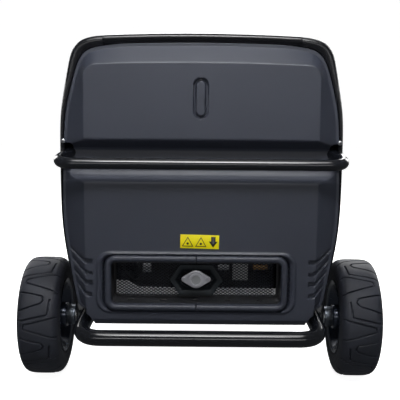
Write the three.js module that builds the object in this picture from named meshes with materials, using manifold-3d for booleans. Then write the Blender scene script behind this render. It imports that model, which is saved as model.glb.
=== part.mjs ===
// Closed-frame inverter generator on two wheels, with a fold-up towing handle.
// Millimetres, +Z up. The exhaust end faces -Y and the control end faces +Y.
// The ground is z = 0, and the origin is under the middle of the machine.
import * as THREE from 'three';
import { mergeVertices } from 'three/addons/utils/BufferGeometryUtils.js';
import Module from 'manifold-3d';

const wasm = await Module();
wasm.setup();

// ---- Driving dimensions ----
const GAP = 0.3;
const SKIN = 4;

const WHEEL = { radius: 127, width: 88, x: 336, beadRadius: 75, bore: 10.3 };
const AXLE = { radius: 10, y: -200, z: WHEEL.radius, halfLength: 370 };

const BODY = { endY: 322, faceY: 352, coverBackY: 300, panZ: 186 };
const TOP = { z: 727, half: 190.8, crown: 4.5, lipY: 330, lipHeight: 19 };
// Right half of the side shell's outer section, from its bottom edge up to the top seam.
const SIDE = [
  [250, 186], [255, 202], [270, 287], [276.5, 330], [280, 380], [280.5, 440], [280.5, 530],
  [278, 578], [271, 620], [264.5, 655], [259.5, 681], [253, 697], [240, 711], [219, 719], [192, 722],
];
const SKIRT = [[211, 151], [214, 158], [221, 176], [240, 182]];
const CHANNEL = { floorY: -318, top: 524, floorTop: 500, floorBottom: 466, bottom: 437 };
const WINDOW = { x: -8.5, z: 237, width: 336, height: 78, depthY: -306 };
const BEZEL = { width: 364, height: 108, radius: 22, frontY: -360.3, seamX: -8 };
const EXHAUST = { x: -8.5, z: 240 };

// Both guard bars have legs that rise and lean in towards their back ends.
const UPPER_BAR = {
  radius: 11, y: -384, z: 477, x: 284, bend: 44, backX: 236, backY: -240, backZ: 510,
};
const LOWER_BAR = {
  radius: 16, y: -375, z: 131, x: 245, bend: 50, backX: 227, backY: -264, backZ: 164,
};
const RAIL = { x: 190, width: 28, bottom: 158, halfLength: 296 };
const STAND = { radius: 12.5, x: 190, y: 250, crossZ: 34, bend: 40 };

const PANEL = { y: 332, thickness: 4, halfWidth: 198, bottom: 392, top: 678 };
const CONTROL_FACE_Y = 346;
const HANDLE = { radius: 12.5, x: 236, y: 376, pivotZ: 470, crossZ: 216, bend: 44, gripRadius: 19 };
const DOOR = { front: -60, back: 160, bottom: 300, top: 520, gap: 1.5 };
const CAP = { x: 0, y: 130, radius: 40, well: 52 };
const CRANK = { y: -90, z: 300, radius: 14 };
const DECK_Z = BODY.panZ + 4 + GAP;

// ---- Materials ----
const finish = (color, roughness, metalness = 0) =>
  new THREE.MeshStandardMaterial({ color, roughness, metalness });
const moulded = () => finish(0x30333b, 0.5);
const darkPlastic = () => finish(0x17181b, 0.4);
const blackPaint = () => finish(0x0c0d10, 0.25, 0.3);
const zinc = () => finish(0xb9bcc0, 0.35, 0.9);
const castAluminium = () => finish(0x9a9c9e, 0.5, 0.8);
const rubber = () => finish(0x1b1b1c, 0.85);

// ---- Shape helpers ----
const BASIS = {
  X: new THREE.Matrix4().makeBasis(
    new THREE.Vector3(0, 1, 0), new THREE.Vector3(0, 0, 1), new THREE.Vector3(1, 0, 0)),
  Y: new THREE.Matrix4().makeBasis(
    new THREE.Vector3(1, 0, 0), new THREE.Vector3(0, 0, 1), new THREE.Vector3(0, -1, 0)),
  Z: new THREE.Matrix4(),
};

function solid(geometry) {
  const bare = geometry.clone();
  bare.deleteAttribute('normal');
  bare.deleteAttribute('uv');
  const merged = mergeVertices(bare, 1e-3);
  return new wasm.Manifold(new wasm.Mesh({
    numProp: 3,
    vertProperties: new Float32Array(merged.attributes.position.array),
    triVerts: new Uint32Array(merged.index.array),
  }));
}

function surface(body) {
  const mesh = body.getMesh();
  const geometry = new THREE.BufferGeometry();
  geometry.setAttribute('position', new THREE.BufferAttribute(mesh.vertProperties.slice(), 3));
  geometry.setIndex(new THREE.BufferAttribute(mesh.triVerts.slice(), 1));
  geometry.computeVertexNormals();
  return geometry;
}

const combine = (how, base, tools) =>
  surface(tools.reduce((body, tool) => body[how](solid(tool)), solid(base)));
const join = (base, ...tools) => combine('add', base, tools);
const cut = (base, ...tools) => combine('subtract', base, tools);
const common = (base, ...tools) => combine('intersect', base, tools);

// An outline of [first, second] points, extruded along a row axis between two places.
// The outline lies in YZ for X, in XZ for Y and in XY for Z.
function prism(axis, outline, from, to, hole) {
  const shape = outline instanceof THREE.Shape ? outline : outlineShape(outline);
  if (hole) shape.holes.push(hole);
  const geometry = new THREE.ExtrudeGeometry(shape, {
    depth: to - from, bevelEnabled: false, curveSegments: 5,
  });
  geometry.translate(0, 0, axis === 'Y' ? -to : from);
  return geometry.applyMatrix4(BASIS[axis]);
}

const outlineShape = (points) => new THREE.Shape(points.map((p) => new THREE.Vector2(...p)));

// A block between its lowest and highest corners.
function block([x0, y0, z0], [x1, y1, z1]) {
  const geometry = new THREE.BoxGeometry(x1 - x0, y1 - y0, z1 - z0);
  return geometry.translate((x0 + x1) / 2, (y0 + y1) / 2, (z0 + z1) / 2);
}

const mirrorX = (x, side) => (side > 0 ? x : -x);

// A block given by its right-hand copy, or that block's mirror image.
function sideBlock(side, [x0, y0, z0], [x1, y1, z1]) {
  return side > 0 ? block([x0, y0, z0], [x1, y1, z1]) : block([-x1, y0, z0], [-x0, y1, z1]);
}

// A turned piece from [along, radius] points, which close on themselves or end on the axis.
function turned(axis, profile, [x, y, z], segments = 24) {
  const ring = new THREE.LatheGeometry(
    profile.map(([along, radius]) => new THREE.Vector2(radius, along)), segments);
  if (axis === 'X') ring.rotateZ(-Math.PI / 2);
  if (axis === 'Z') ring.rotateX(Math.PI / 2);
  return outward(ring.translate(x, y, z));
}

// Turns a closed surface's faces outward when its volume comes out negative.
function outward(geometry) {
  const body = solid(geometry);
  if (body.volume() > 0) return surface(body);
  const index = geometry.index.array;
  for (let i = 0; i < index.length; i += 3) {
    [index[i], index[i + 1]] = [index[i + 1], index[i]];
  }
  return surface(solid(geometry));
}

const rod = (axis, radius, from, to, centre, segments = 24) =>
  turned(axis, [[from, 0], [from, radius], [to, radius], [to, 0]], centre, segments);

const tubeRing = (axis, inner, outer, from, to, centre, segments = 24) =>
  turned(axis, [[from, inner], [from, outer], [to, outer], [to, inner], [from, inner]],
    centre, segments);

// A round bar through the given corners, with each corner rounded to the bend length.
function bar(corners, bend, radius, steps) {
  const path = new THREE.CurvePath();
  const points = corners.map((c) => new THREE.Vector3(...c));
  let start = points[0];
  for (let i = 1; i < points.length - 1; i += 1) {
    const before = points[i].clone().add(
      points[i - 1].clone().sub(points[i]).setLength(bend));
    const after = points[i].clone().add(
      points[i + 1].clone().sub(points[i]).setLength(bend));
    path.add(new THREE.LineCurve3(start, before));
    path.add(new THREE.QuadraticBezierCurve3(before, points[i], after));
    start = after;
  }
  path.add(new THREE.LineCurve3(start, points.at(-1)));
  const octagon = Array.from({ length: 8 }, (_, i) => {
    const angle = (Math.PI * i) / 4;
    return [radius * Math.cos(angle), radius * Math.sin(angle)];
  });
  return new THREE.ExtrudeGeometry(outlineShape(octagon), { steps, extrudePath: path });
}

// A rounded rectangle about a centre, as a shape or as a hole.
function roundedRectangle(width, height, radius, x = 0, z = 0, Kind = THREE.Shape) {
  const [w, h] = [width / 2 - radius, height / 2 - radius];
  const shape = new Kind();
  shape.absarc(x + w, z + h, radius, 0, Math.PI / 2);
  shape.absarc(x - w, z + h, radius, Math.PI / 2, Math.PI);
  shape.absarc(x - w, z - h, radius, Math.PI, 1.5 * Math.PI);
  shape.absarc(x + w, z - h, radius, 1.5 * Math.PI, 2 * Math.PI);
  return shape;
}

// A line of points moved sideways: a positive distance moves a line that runs
// upward on the right-hand side towards the middle.
function shifted(points, distance) {
  return points.map((point, i) => {
    const before = points[Math.max(i - 1, 0)];
    const after = points[Math.min(i + 1, points.length - 1)];
    const [dx, dz] = [after[0] - before[0], after[1] - before[1]];
    const length = Math.hypot(dx, dz);
    return [point[0] - (dz / length) * distance, point[1] + (dx / length) * distance];
  });
}

const mirrored = (points) => points.map(([x, z]) => [-x, z]).reverse();

// ---- The assembly ----
const generator = new THREE.Group();

function add(parent, name, geometry, material) {
  const mesh = new THREE.Mesh(geometry, material);
  mesh.name = name;
  parent.add(mesh);
}

function group(parent, position) {
  const holder = new THREE.Group();
  holder.position.set(...position);
  parent.add(holder);
  return holder;
}

const SIDES = [['left', -1], ['right', 1]];

// ---- Casing ----
function sideSection(side) {
  const outer = SIDE;
  const inner = shifted(SIDE, SKIN);
  const section = [...outer, ...inner.reverse()];
  return section.map(([x, z]) => [mirrorX(x, side), z]);
}

// Cooling slots through a side wall: a column of level slots.
function sideSlots(side, yFrom, yTo, zLowest, count) {
  return Array.from({ length: count }, (_, i) =>
    sideBlock(side, [235, yFrom, zLowest + i * 20], [300, yTo, zLowest + i * 20 + 8]));
}

function doorBox(gap) {
  return block([200, DOOR.front - gap, DOOR.bottom - gap],
    [320, DOOR.back + gap, DOOR.top + gap]);
}

function sideShell(side) {
  const shell = prism('Y', sideSection(side), -BODY.endY, BODY.endY);
  const slots = sideSlots(side, 190, 290, 350, 7);
  if (side > 0) return cut(shell, doorBox(DOOR.gap), ...slots);
  const ropeHole = rod('X', 9, -300, -250, [0, CRANK.y, 420], 12);
  return cut(shell, ropeHole, ...slots);
}

function topCover() {
  const crown = (x) => TOP.z - TOP.crown * (x / TOP.half) ** 2;
  const across = Array.from({ length: 13 }, (_, i) => TOP.half * (i / 6 - 1));
  const upper = across.map((x) => [x, crown(x)]);
  const section = (height) =>
    [...upper, ...across.map((x) => [x, crown(x) - height]).reverse()];
  const plate = prism('Y', section(SKIN), -TOP.lipY, TOP.lipY);
  const lips = [-TOP.lipY, TOP.lipY - SKIN].map((y) =>
    prism('Y', section(TOP.lipHeight), y, y + SKIN));
  const capWell = rod('Z', CAP.well, 690, 760, [CAP.x, CAP.y, 0], 32);
  return cut(join(plate, ...lips), capWell);
}

// The end outline just inside the shells, closed over the top under the top cover.
function endOutline(inset, bottom) {
  const half = [...bottom, ...shifted(SIDE, inset)];
  const crown = TOP.z - SKIN - inset;
  return [...half, [96, crown - 1.2], [0, crown], [-96, crown - 1.2], ...mirrored(half)];
}

// A dished cover for the -Y end: the shape shared by its side profile, the end outline
// and its plan. The profile runs from the bottom up, and the plan from the face back.
function endCover(profile, plan, bottom) {
  const body = (inset, back) => {
    const side = [...shifted(profile, -inset), [back, 760], [back, 140]];
    const half = [...shifted(plan, inset), [plan.at(-1)[0] - inset, back + 1]];
    return common(
      prism('X', side, -290, 290),
      prism('Y', endOutline(SKIN + GAP + inset, bottom(inset)), -400, -250),
      prism('Z', [...half, ...mirrored(half)], 130, 780),
    );
  };
  return cut(body(0, -BODY.coverBackY), body(SKIN, -BODY.coverBackY + 12));
}

// Plan of half an end cover: a flat face, a sloping flank and a short return.
const coverPlan = (face) => [[228, face], [271, face + 29], [282, -BODY.coverBackY]];

function exhaustEndCover() {
  const { floorY, top, floorTop, floorBottom, bottom } = CHANNEL;
  const face = -BODY.faceY;
  const profile = [
    [face + 3, 150], [face, 170], [face, bottom], [floorY - 8, bottom + 20],
    [floorY, floorBottom], [floorY, floorTop], [face + 5, top - 8], [face, top],
    [face, 665], [face + 23, 700], [face + 27, 703], [face + 27, 740],
  ];
  const bottomEdge = (inset) => SKIRT.map(([x, z]) => [x - inset, z + inset]);
  const cover = endCover(profile, coverPlan(face), bottomEdge);
  const windowFrame = prism('Y', roundedRectangle(
    WINDOW.width + 10, WINDOW.height + 10, 6, WINDOW.x, WINDOW.z), face + 1, WINDOW.depthY);
  const opening = prism('Y', roundedRectangle(
    WINDOW.width, WINDOW.height, 2, WINDOW.x, WINDOW.z), -380, WINDOW.depthY + 10);
  const barNotches = SIDES.map(([, side]) =>
    sideBlock(side, [242, -370, 472], [290, -280, 514]));
  return cut(join(cover, windowFrame), opening, ...barNotches);
}

function controlEndCover() {
  const face = -CONTROL_FACE_Y;
  const profile = [
    [face + 30, 168], [face + 8, 172], [face, 190], [face, 678], [face + 18, 700],
    [face + 21, 703], [face + 21, 740],
  ];
  const bottomEdge = (inset) => [[240 - inset, 172 + inset]];
  const cover = endCover(profile, coverPlan(face), bottomEdge).rotateZ(Math.PI);
  const panelHole = block([-PANEL.halfWidth - 2, 280, PANEL.bottom - 2],
    [PANEL.halfWidth + 2, 380, PANEL.top - 6]);
  const intake = Array.from({ length: 6 }, (_, i) =>
    block([-170, 280, 212 + i * 24], [170, 380, 222 + i * 24]));
  return cut(cover, panelHole, ...intake);
}

const casing = group(generator, [0, 0, 0]);
for (const [name, side] of SIDES) {
  add(casing, `side_shell_${name}`, sideShell(side), darkPlastic());
}
add(casing, 'top_cover', topCover(), darkPlastic());
add(casing, 'exhaust_end_cover', exhaustEndCover(), moulded());
add(casing, 'control_end_cover', controlEndCover(), moulded());

// ---- Maintenance door and its quarter-turn latch ----
const doorSkin = common(
  prism('Y', sideSection(1), -BODY.endY, BODY.endY), doorBox(0));
add(casing, 'maintenance_door', doorSkin, darkPlastic());
const latch = group(generator, [280.6, DOOR.back - 22, 410]);
const latchKnob = join(rod('X', 14, 0, 3, [0, 0, 0], 20), block([2, -11, -3], [8, 11, 3]));
add(latch, 'door_latch', latchKnob, zinc());

// ---- Exhaust window ----
function bezelHalf(side) {
  const ring = prism('Y',
    roundedRectangle(BEZEL.width, BEZEL.height, BEZEL.radius, WINDOW.x, WINDOW.z),
    BEZEL.frontY, -BODY.faceY - GAP,
    roundedRectangle(WINDOW.width, WINDOW.height, 10, WINDOW.x, WINDOW.z, THREE.Path));
  const [from, to] = side < 0 ? [-300, BEZEL.seamX - 0.5] : [BEZEL.seamX + 0.5, 300];
  return common(ring, block([from, -400, 100], [to, -300, 400]));
}

function heatPlate() {
  const hex = [[-57, 0], [-33, 30], [33, 30], [57, 0], [33, -34], [-33, -34]]
    .map(([x, z]) => [x + EXHAUST.x, z + WINDOW.z - 1]);
  const opening = new THREE.Path();
  opening.absellipse(EXHAUST.x, EXHAUST.z - 4, 40, 28, 0, 2 * Math.PI);
  return prism('Y', hex, -314, -312, opening);
}

function exhaustFlange() {
  const outline = new THREE.Shape();
  const [lean, ear] = [0.95, 24];
  outline.absarc(ear, 0, 5.5, -lean, lean);
  outline.absarc(0, 0, 18, lean, Math.PI - lean);
  outline.absarc(-ear, 0, 5.5, Math.PI - lean, Math.PI + lean);
  outline.absarc(0, 0, 18, Math.PI + lean, 2 * Math.PI - lean);
  const plate = prism('Y', outline, -330, -325);
  const holes = [-22.5, 22.5].map((x) => rod('Y', 3, -340, -320, [x, 0, 0], 12));
  return cut(plate, rod('Y', 11, -340, -320, [0, 0, 0], 20), ...holes);
}

for (const [name, side] of SIDES) {
  add(casing, `window_bezel_${name}`, bezelHalf(side), moulded());
}
const meshPlate = prism('Y',
  roundedRectangle(WINDOW.width - 1, WINDOW.height - 1, 1.5, WINDOW.x, WINDOW.z), -309, -307);
add(casing, 'guard_mesh', cut(meshPlate, rod('Y', 24, -320, -290, [EXHAUST.x, 0, EXHAUST.z])),
  zinc());
add(casing, 'exhaust_heat_plate', heatPlate(), darkPlastic());
const exhaust = group(generator, [EXHAUST.x, 0, EXHAUST.z]);
const outletRing = tubeRing('Y', 9.5, 14.5, -338, -328, [0, 0, 0]);
add(exhaust, 'exhaust_flange', join(exhaustFlange(), outletRing), zinc());
add(exhaust, 'spark_arrestor_screen', rod('Y', 9.2, -335, -333, [0, 0, 0]), zinc());

// ---- Frame ----
function upperBar() {
  const { x, y, z, backX, backY, backZ, bend, radius } = UPPER_BAR;
  return bar([[-backX, backY, backZ], [-x, y, z], [x, y, z], [backX, backY, backZ]],
    bend, radius, 32);
}

function lowerBar() {
  const { x, y, z, backX, backY, backZ, bend, radius } = LOWER_BAR;
  return bar([[-backX, backY, backZ], [-x, y, z], [x, y, z], [backX, backY, backZ]],
    bend, radius, 32);
}

function standLeg() {
  const { x, y, crossZ, bend, radius } = STAND;
  const top = RAIL.bottom - GAP;
  return bar([[-x, y, top], [-x, y, crossZ], [x, y, crossZ], [x, y, top]], bend, radius, 28);
}

function axleBracket(side) {
  const plate = prism('X', [[-250, 185.5], [-236, 102], [-160, 102], [-138, 185.5]], 262, 267);
  const flange = block([206, -250, 181.5], [264, -138, 185.5]);
  const bracket = cut(join(plate, flange),
    rod('X', AXLE.radius + GAP, 200, 300, [0, AXLE.y, AXLE.z]));
  return side > 0 ? bracket : outward(bracket.clone().scale(-1, 1, 1));
}

// The welded base: a pan on two rails, two posts whose arms hold the upper bar, and
// two hanger plates that the lower bar's legs are welded to.
function baseFrame() {
  const { x, width, bottom, halfLength } = RAIL;
  const pieces = SIDES.flatMap(([, side]) => [
    sideBlock(side, [x - width / 2, -halfLength, bottom],
      [x + width / 2, halfLength, BODY.panZ + 1]),
    sideBlock(side, [218, -235, BODY.panZ + 2], [240, -212, 524]),
    sideBlock(side, [238, -235, 496], [258, -212, 524]),
    sideBlock(side, [206, -258, 150], [240, -253, BODY.panZ + 1]),
  ]);
  return join(block([-240, -298, BODY.panZ], [240, 298, BODY.panZ + 4]), ...pieces);
}

// The axle, with its two end nuts.
function axle() {
  const { radius, y, z, halfLength } = AXLE;
  const nuts = SIDES.map(([, side]) => {
    const [inner, outer] = [side * (WHEEL.x + 16 + GAP), side * (WHEEL.x + 28)];
    return rod('X', 16, Math.min(inner, outer), Math.max(inner, outer), [0, y, z], 6);
  });
  return join(rod('X', radius, -halfLength, halfLength, [0, y, z]), ...nuts);
}

const frame = group(generator, [0, 0, 0]);
add(frame, 'base_frame', baseFrame(), blackPaint());
add(frame, 'upper_bar', upperBar(), blackPaint());
add(frame, 'lower_bar', lowerBar(), blackPaint());
add(frame, 'stand_leg', standLeg(), blackPaint());
add(frame, 'axle', axle(), zinc());
for (const [name, side] of SIDES) {
  add(frame, `axle_bracket_${name}`, axleBracket(side), blackPaint());
  add(frame, `rubber_foot_${name}`, sideBlock(side, [100, 228, 0], [150, 272, 21.2]), rubber());
}

// ---- Wheels ----
function tyre() {
  const { radius, width, beadRadius } = WHEEL;
  const half = width / 2;
  const profile = [
    [-half + 9, beadRadius], [-half + 2, beadRadius + 8], [-half, 100], [-half + 3, 116],
    [-half + 11, 124.5], [-half + 24, radius], [half - 24, radius], [half - 11, 124.5],
    [half - 3, 116], [half, 100], [half - 2, beadRadius + 8], [half - 9, beadRadius],
    [-half + 9, beadRadius],
  ];
  return turned('X', profile, [0, 0, 0], 36);
}

// One pressed rim; its long hub barrel points inboard, towards -X on the right wheel.
function rim(side) {
  const { bore, beadRadius, width } = WHEEL;
  const seat = beadRadius - GAP;
  const edge = width / 2 - 1.5;
  const profile = [
    [-63, bore], [-63, 20], [-42, 20], [-40, 26], [-20, 26], [-14, 60], [-27, 68],
    [2.5 - edge, 71], [-edge, 78], [1 - edge, 80], [6 - edge, seat], [edge - 6, seat],
    [edge - 1, 80], [edge, 78], [edge - 2.5, 71], [-8, 66], [-8, 60], [-14, 27],
    [16, 24], [16, bore], [-63, bore],
  ];
  return turned('X', profile.map(([along, r]) => [along * side, r]), [0, 0, 0], 24);
}

for (const [name, side] of SIDES) {
  const wheel = group(generator, [side * WHEEL.x, AXLE.y, AXLE.z]);
  add(wheel, `tyre_${name}`, tyre(), rubber());
  add(wheel, `rim_${name}`, rim(side), blackPaint());
}

// ---- Power unit ----
const engine = group(generator, [0, 0, 0]);
const shaftBore = rod('X', CRANK.radius + 0.4, -300, 300, [0, CRANK.y, CRANK.z]);

// The crankcase on its two feet, cast in one with the finned cylinder.
function engineBlock() {
  const crankcase = prism('X',
    [[-190, 215], [10, 215], [10, 380], [-20, 400], [-160, 400], [-190, 370]], -70, 70);
  const feet = [-185, -25].map((y) => block([-80, y, DECK_Z], [80, y + 30, 216]));
  const cylinder = block([-42, -150, 399], [42, -50, 520]);
  const fins = Array.from({ length: 8 }, (_, i) =>
    block([-62, -172, 410 + i * 13], [62, -28, 414 + i * 13]));
  return cut(join(crankcase, ...feet, cylinder, ...fins), shaftBore);
}

const headCover = join(block([-64, -174, 520 + GAP], [64, -26, 560]),
  block([-50, -160, 559], [50, -40, 588]));
const plug = rod('Y', 9, -27, 24, [0, 0, 540], 12);
const shaftAndRotor = join(rod('X', CRANK.radius, -150, 165, [0, CRANK.y, CRANK.z], 20),
  rod('X', 62, 92, 158, [0, CRANK.y, CRANK.z]));
add(engine, 'engine_block', engineBlock(), castAluminium());
add(engine, 'cylinder_head', join(headCover, plug), castAluminium());
add(engine, 'crankshaft', shaftAndRotor, zinc());

function flywheel() {
  const disc = tubeRing('X', CRANK.radius + GAP, 92, -120, -110, [0, CRANK.y, CRANK.z], 32);
  const blades = Array.from({ length: 10 }, (_, i) => {
    const blade = block([-145, -3, 40], [-119, 3, 90]);
    blade.rotateX((2 * Math.PI * i) / 10);
    return blade.translate(0, CRANK.y, CRANK.z);
  });
  return join(disc, ...blades);
}

add(engine, 'flywheel_fan', flywheel(), castAluminium());
add(engine, 'alternator_stator', tubeRing('X', 64, 96, 90, 160, [0, CRANK.y, CRANK.z]), zinc());
add(engine, 'recoil_housing',
  tubeRing('X', 30, 100, -182, -152, [0, CRANK.y, CRANK.z], 28), blackPaint());

const mufflerOutline = roundedRectangle(60, 96, 24, -265, 251);
const outletPipe = tubeRing('Y', 8, 10.5, -325 + GAP, -294, [EXHAUST.x, 0, EXHAUST.z], 16);
const header = bar([[-20, -174.4, 540], [-20, -255, 540], [-20, -255, 290]], 45, 13, 14);
add(engine, 'muffler', join(prism('X', mufflerOutline, -125, 110), outletPipe, header), zinc());
const shieldOutline = [[-172, 199], [155, 199], [155, 216], [-60, 216], [-126, 218],
  [-147, 230], [-172, 232]];
add(engine, 'muffler_heat_shield', prism('Y', shieldOutline, -304, -302.5), zinc());

add(engine, 'carburettor', block([64 + GAP, -125, 522], [104, -75, 562]), castAluminium());
add(engine, 'air_filter_box', prism('Y', roundedRectangle(100, 130, 16, 156, 520), -165, -30),
  darkPlastic());

function inverterModule() {
  const fins = Array.from({ length: 9 }, (_, i) =>
    block([-200 + i * 21, 60, 318], [-195 + i * 21, 280, 345]));
  return join(block([-200, 60, DECK_Z], [-25, 280, 320]), ...fins);
}

add(engine, 'inverter_module', inverterModule(), castAluminium());
add(engine, 'starter_battery', block([60, 130, DECK_Z], [210, 280, 330]), darkPlastic());
const tankOutline = [[-160, 600], [160, 600], [172, 616], [172, 684], [156, 700], [-156, 700],
  [-172, 684], [-172, 616]];
add(engine, 'fuel_tank', join(prism('Y', tankOutline, -10, 270),
  rod('Z', 30, 698, 702, [CAP.x, CAP.y, 0])), darkPlastic());
add(engine, 'fuel_cap', join(rod('Z', CAP.radius, 702 + GAP, 716, [CAP.x, CAP.y, 0], 24),
  block([-32, CAP.y - 6, 715], [32, CAP.y + 6, 725])), darkPlastic());

// ---- Recoil start grip ----
const grip = prism('X', roundedRectangle(110, 24, 11, CRANK.y, 420), -304, -286);
const gripStem = rod('X', 6, -287, -262, [0, CRANK.y, 420], 12);
add(generator, 'recoil_grip', join(grip, gripStem), darkPlastic());

// ---- Control panel ----
const FACE = PANEL.y + PANEL.thickness;
const OUTLETS = [
  { name: 'locking', x: -120, z: 460, width: 72, height: 72 },
  { name: 'duplex_left', x: -14, z: 460, width: 64, height: 92 },
  { name: 'duplex_right', x: 84, z: 460, width: 64, height: 92 },
];
const BREAKER = { x: -120, z: 560, radius: 6 };
const START = { x: 62, z: 632, radius: 13 };
const SWITCH = { x: 132, z: 606, radius: 24 };
const CHOKE = { x: 62, z: 570, radius: 13 };
const ECO = { x: 0, z: 570, halfWidth: 10, halfHeight: 7 };

function controlPanel() {
  const plate = block([-PANEL.halfWidth, PANEL.y, PANEL.bottom],
    [PANEL.halfWidth, FACE, PANEL.top - 8]);
  const hole = (x, z, r) => rod('Y', r, 300, 360, [x, 0, z], 20);
  return cut(plate, hole(START.x, START.z, START.radius + 0.6),
    hole(CHOKE.x, CHOKE.z, 5), hole(SWITCH.x, SWITCH.z, 7),
    hole(BREAKER.x, BREAKER.z, BREAKER.radius + 0.6),
    block([ECO.x - 11.5, 300, ECO.z - 10], [ECO.x + 11.5, 360, ECO.z + 10]));
}

add(generator, 'control_panel', controlPanel(), darkPlastic());
add(generator, 'display_module', block([-160, FACE + GAP, 606], [-80, 341, 656]), darkPlastic());
add(generator, 'ground_terminal', turned('Y',
  [[FACE + GAP, 0], [FACE + GAP, 9], [340, 9], [340, 4], [346, 4], [346, 7], [351, 7], [351, 0]],
  [178, 0, 410], 12), zinc());

add(generator, 'start_button', rod('Y', START.radius, 329, 343, [START.x, 0, START.z], 20),
  finish(0x1d6b2f, 0.4));
const switchKnob = join(rod('Y', SWITCH.radius, FACE + 0.6, 350, [SWITCH.x, 0, SWITCH.z], 24),
  rod('Y', 6, 326, 340, [SWITCH.x, 0, SWITCH.z], 16),
  block([SWITCH.x - 5, 349, SWITCH.z - 22], [SWITCH.x + 5, 362, SWITCH.z + 22]));
add(generator, 'engine_switch', switchKnob, darkPlastic());
const chokeKnob = turned('Y', [[312, 0], [312, 4.4], [FACE + 1, 4.4], [FACE + 1, CHOKE.radius],
  [350, CHOKE.radius], [353, 10], [353, 0]], [CHOKE.x, 0, CHOKE.z], 20);
add(generator, 'choke_knob', chokeKnob, darkPlastic());
add(generator, 'eco_rocker', prism('X',
  [[330, ECO.z - 6], [338, ECO.z - 7], [340, ECO.z - 7], [338.5, ECO.z], [340, ECO.z + 7],
    [338, ECO.z + 7], [330, ECO.z + 6]], ECO.x - ECO.halfWidth, ECO.x + ECO.halfWidth),
darkPlastic());
add(generator, 'breaker_button',
  rod('Y', BREAKER.radius, 329, 342, [BREAKER.x, 0, BREAKER.z], 16), finish(0x222222, 0.4));

for (const { name, x, z, width, height } of OUTLETS) {
  const round = width === height;
  const body = round
    ? rod('Y', width / 2 - 5, FACE + GAP, 344, [x, 0, z], 24)
    : prism('Y', roundedRectangle(width - 16, height - 14, 8, x, z), FACE + GAP, 344);
  add(generator, `outlet_${name}`, body, darkPlastic());
  const top = z + height / 2;
  const lid = join(
    prism('Y', roundedRectangle(width, height, 8, x, z), 346, 349),
    rod('X', 2.8, x - 20, x + 20, [0, 347.5, top], 12));
  add(generator, `outlet_lid_${name}`, lid, darkPlastic());
}

// ---- Towing handle ----
function handleTube() {
  const { x, y, pivotZ, crossZ, bend, radius } = HANDLE;
  const top = pivotZ + 14;
  const tube = bar([[-x, y, top], [-x, y, crossZ], [x, y, crossZ], [x, y, top]], bend, radius, 36);
  return cut(tube, rod('X', 5.3, -290, 290, [0, y, pivotZ], 16));
}

function handleBracket(side) {
  const { y, pivotZ } = HANDLE;
  const wall = CONTROL_FACE_Y + GAP;
  const base = sideBlock(side, [213, wall, pivotZ - 36], [259, wall + 4, pivotZ + 28]);
  const ear = (near, far, low) =>
    sideBlock(side, [near, wall + 3, pivotZ + low], [far, y + 12, pivotZ + 14]);
  const bracket = join(base, ear(213, 218, -14), ear(253, 259, -36));
  const lockHole = rod('X', 4.6, -290, 290, [0, y, pivotZ - 26], 12);
  const pin = rod('X', 5, 211, 262, [0, y, pivotZ], 16);
  const rivetedPin = side > 0 ? pin : pin.translate(-473, 0, 0);
  return join(cut(bracket, lockHole), rivetedPin);
}

add(generator, 'handle_tube', handleTube(), blackPaint());
add(generator, 'handle_grip', tubeRing('X', HANDLE.radius + GAP, HANDLE.gripRadius, -95, 95,
  [0, HANDLE.y, HANDLE.crossZ]), rubber());
for (const [name, side] of SIDES) {
  add(generator, `handle_bracket_${name}`, handleBracket(side), blackPaint());
}
const lockProfile = [[251.5, 0], [251.5, 4.2], [259.6, 4.2], [259.6, 9], [272, 9], [272, 0]];
add(generator, 'handle_lock',
  turned('X', lockProfile, [0, HANDLE.y, HANDLE.pivotZ - 26], 16), darkPlastic());

export default generator;
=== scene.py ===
"""Looks of the wheeled closed-frame inverter generator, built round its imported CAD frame."""
import contextlib
import math

import bmesh
import bpy
import numpy as np
from mathutils import Matrix, Vector


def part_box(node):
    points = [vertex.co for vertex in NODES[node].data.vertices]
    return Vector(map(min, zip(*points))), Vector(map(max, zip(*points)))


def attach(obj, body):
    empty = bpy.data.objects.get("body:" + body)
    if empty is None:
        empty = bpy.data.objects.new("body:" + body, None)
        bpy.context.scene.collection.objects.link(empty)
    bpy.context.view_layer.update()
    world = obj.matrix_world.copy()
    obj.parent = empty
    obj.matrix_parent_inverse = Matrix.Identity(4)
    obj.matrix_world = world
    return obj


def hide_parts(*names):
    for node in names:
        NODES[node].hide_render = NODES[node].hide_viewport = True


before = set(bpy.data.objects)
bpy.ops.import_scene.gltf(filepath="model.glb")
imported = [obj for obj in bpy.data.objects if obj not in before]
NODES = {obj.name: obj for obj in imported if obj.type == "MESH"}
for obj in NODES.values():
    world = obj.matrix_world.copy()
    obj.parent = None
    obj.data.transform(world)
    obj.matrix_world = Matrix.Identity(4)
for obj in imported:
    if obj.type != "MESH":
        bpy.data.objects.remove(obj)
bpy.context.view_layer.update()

# ---- Places taken from the frame, in metres ----
COVER_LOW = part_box("exhaust_end_cover")[0]
CONTROL_LOW, CONTROL_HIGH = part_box("control_end_cover")
SHELL_LOW, SHELL_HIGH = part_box("side_shell_right")
TOP_LOW, TOP_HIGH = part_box("top_cover")
PANEL_LOW, PANEL_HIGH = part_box("control_panel")
DOOR_LOW, DOOR_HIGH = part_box("maintenance_door")
GUARD_LOW, GUARD_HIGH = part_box("guard_mesh")
FLANGE_LOW, FLANGE_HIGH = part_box("exhaust_flange")
FACE_Y = COVER_LOW.y
CONTROL_Y = CONTROL_HIGH.y
WINDOW = (GUARD_LOW + GUARD_HIGH) / 2
WINDOW_WIDTH = GUARD_HIGH.x - GUARD_LOW.x
WINDOW_HEIGHT = GUARD_HIGH.z - GUARD_LOW.z
EXHAUST = (FLANGE_LOW + FLANGE_HIGH) / 2
PANEL_MIDDLE_Z = (PANEL_LOW.z + PANEL_HIGH.z) / 2
INTAKE_Z = 0.277
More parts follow.
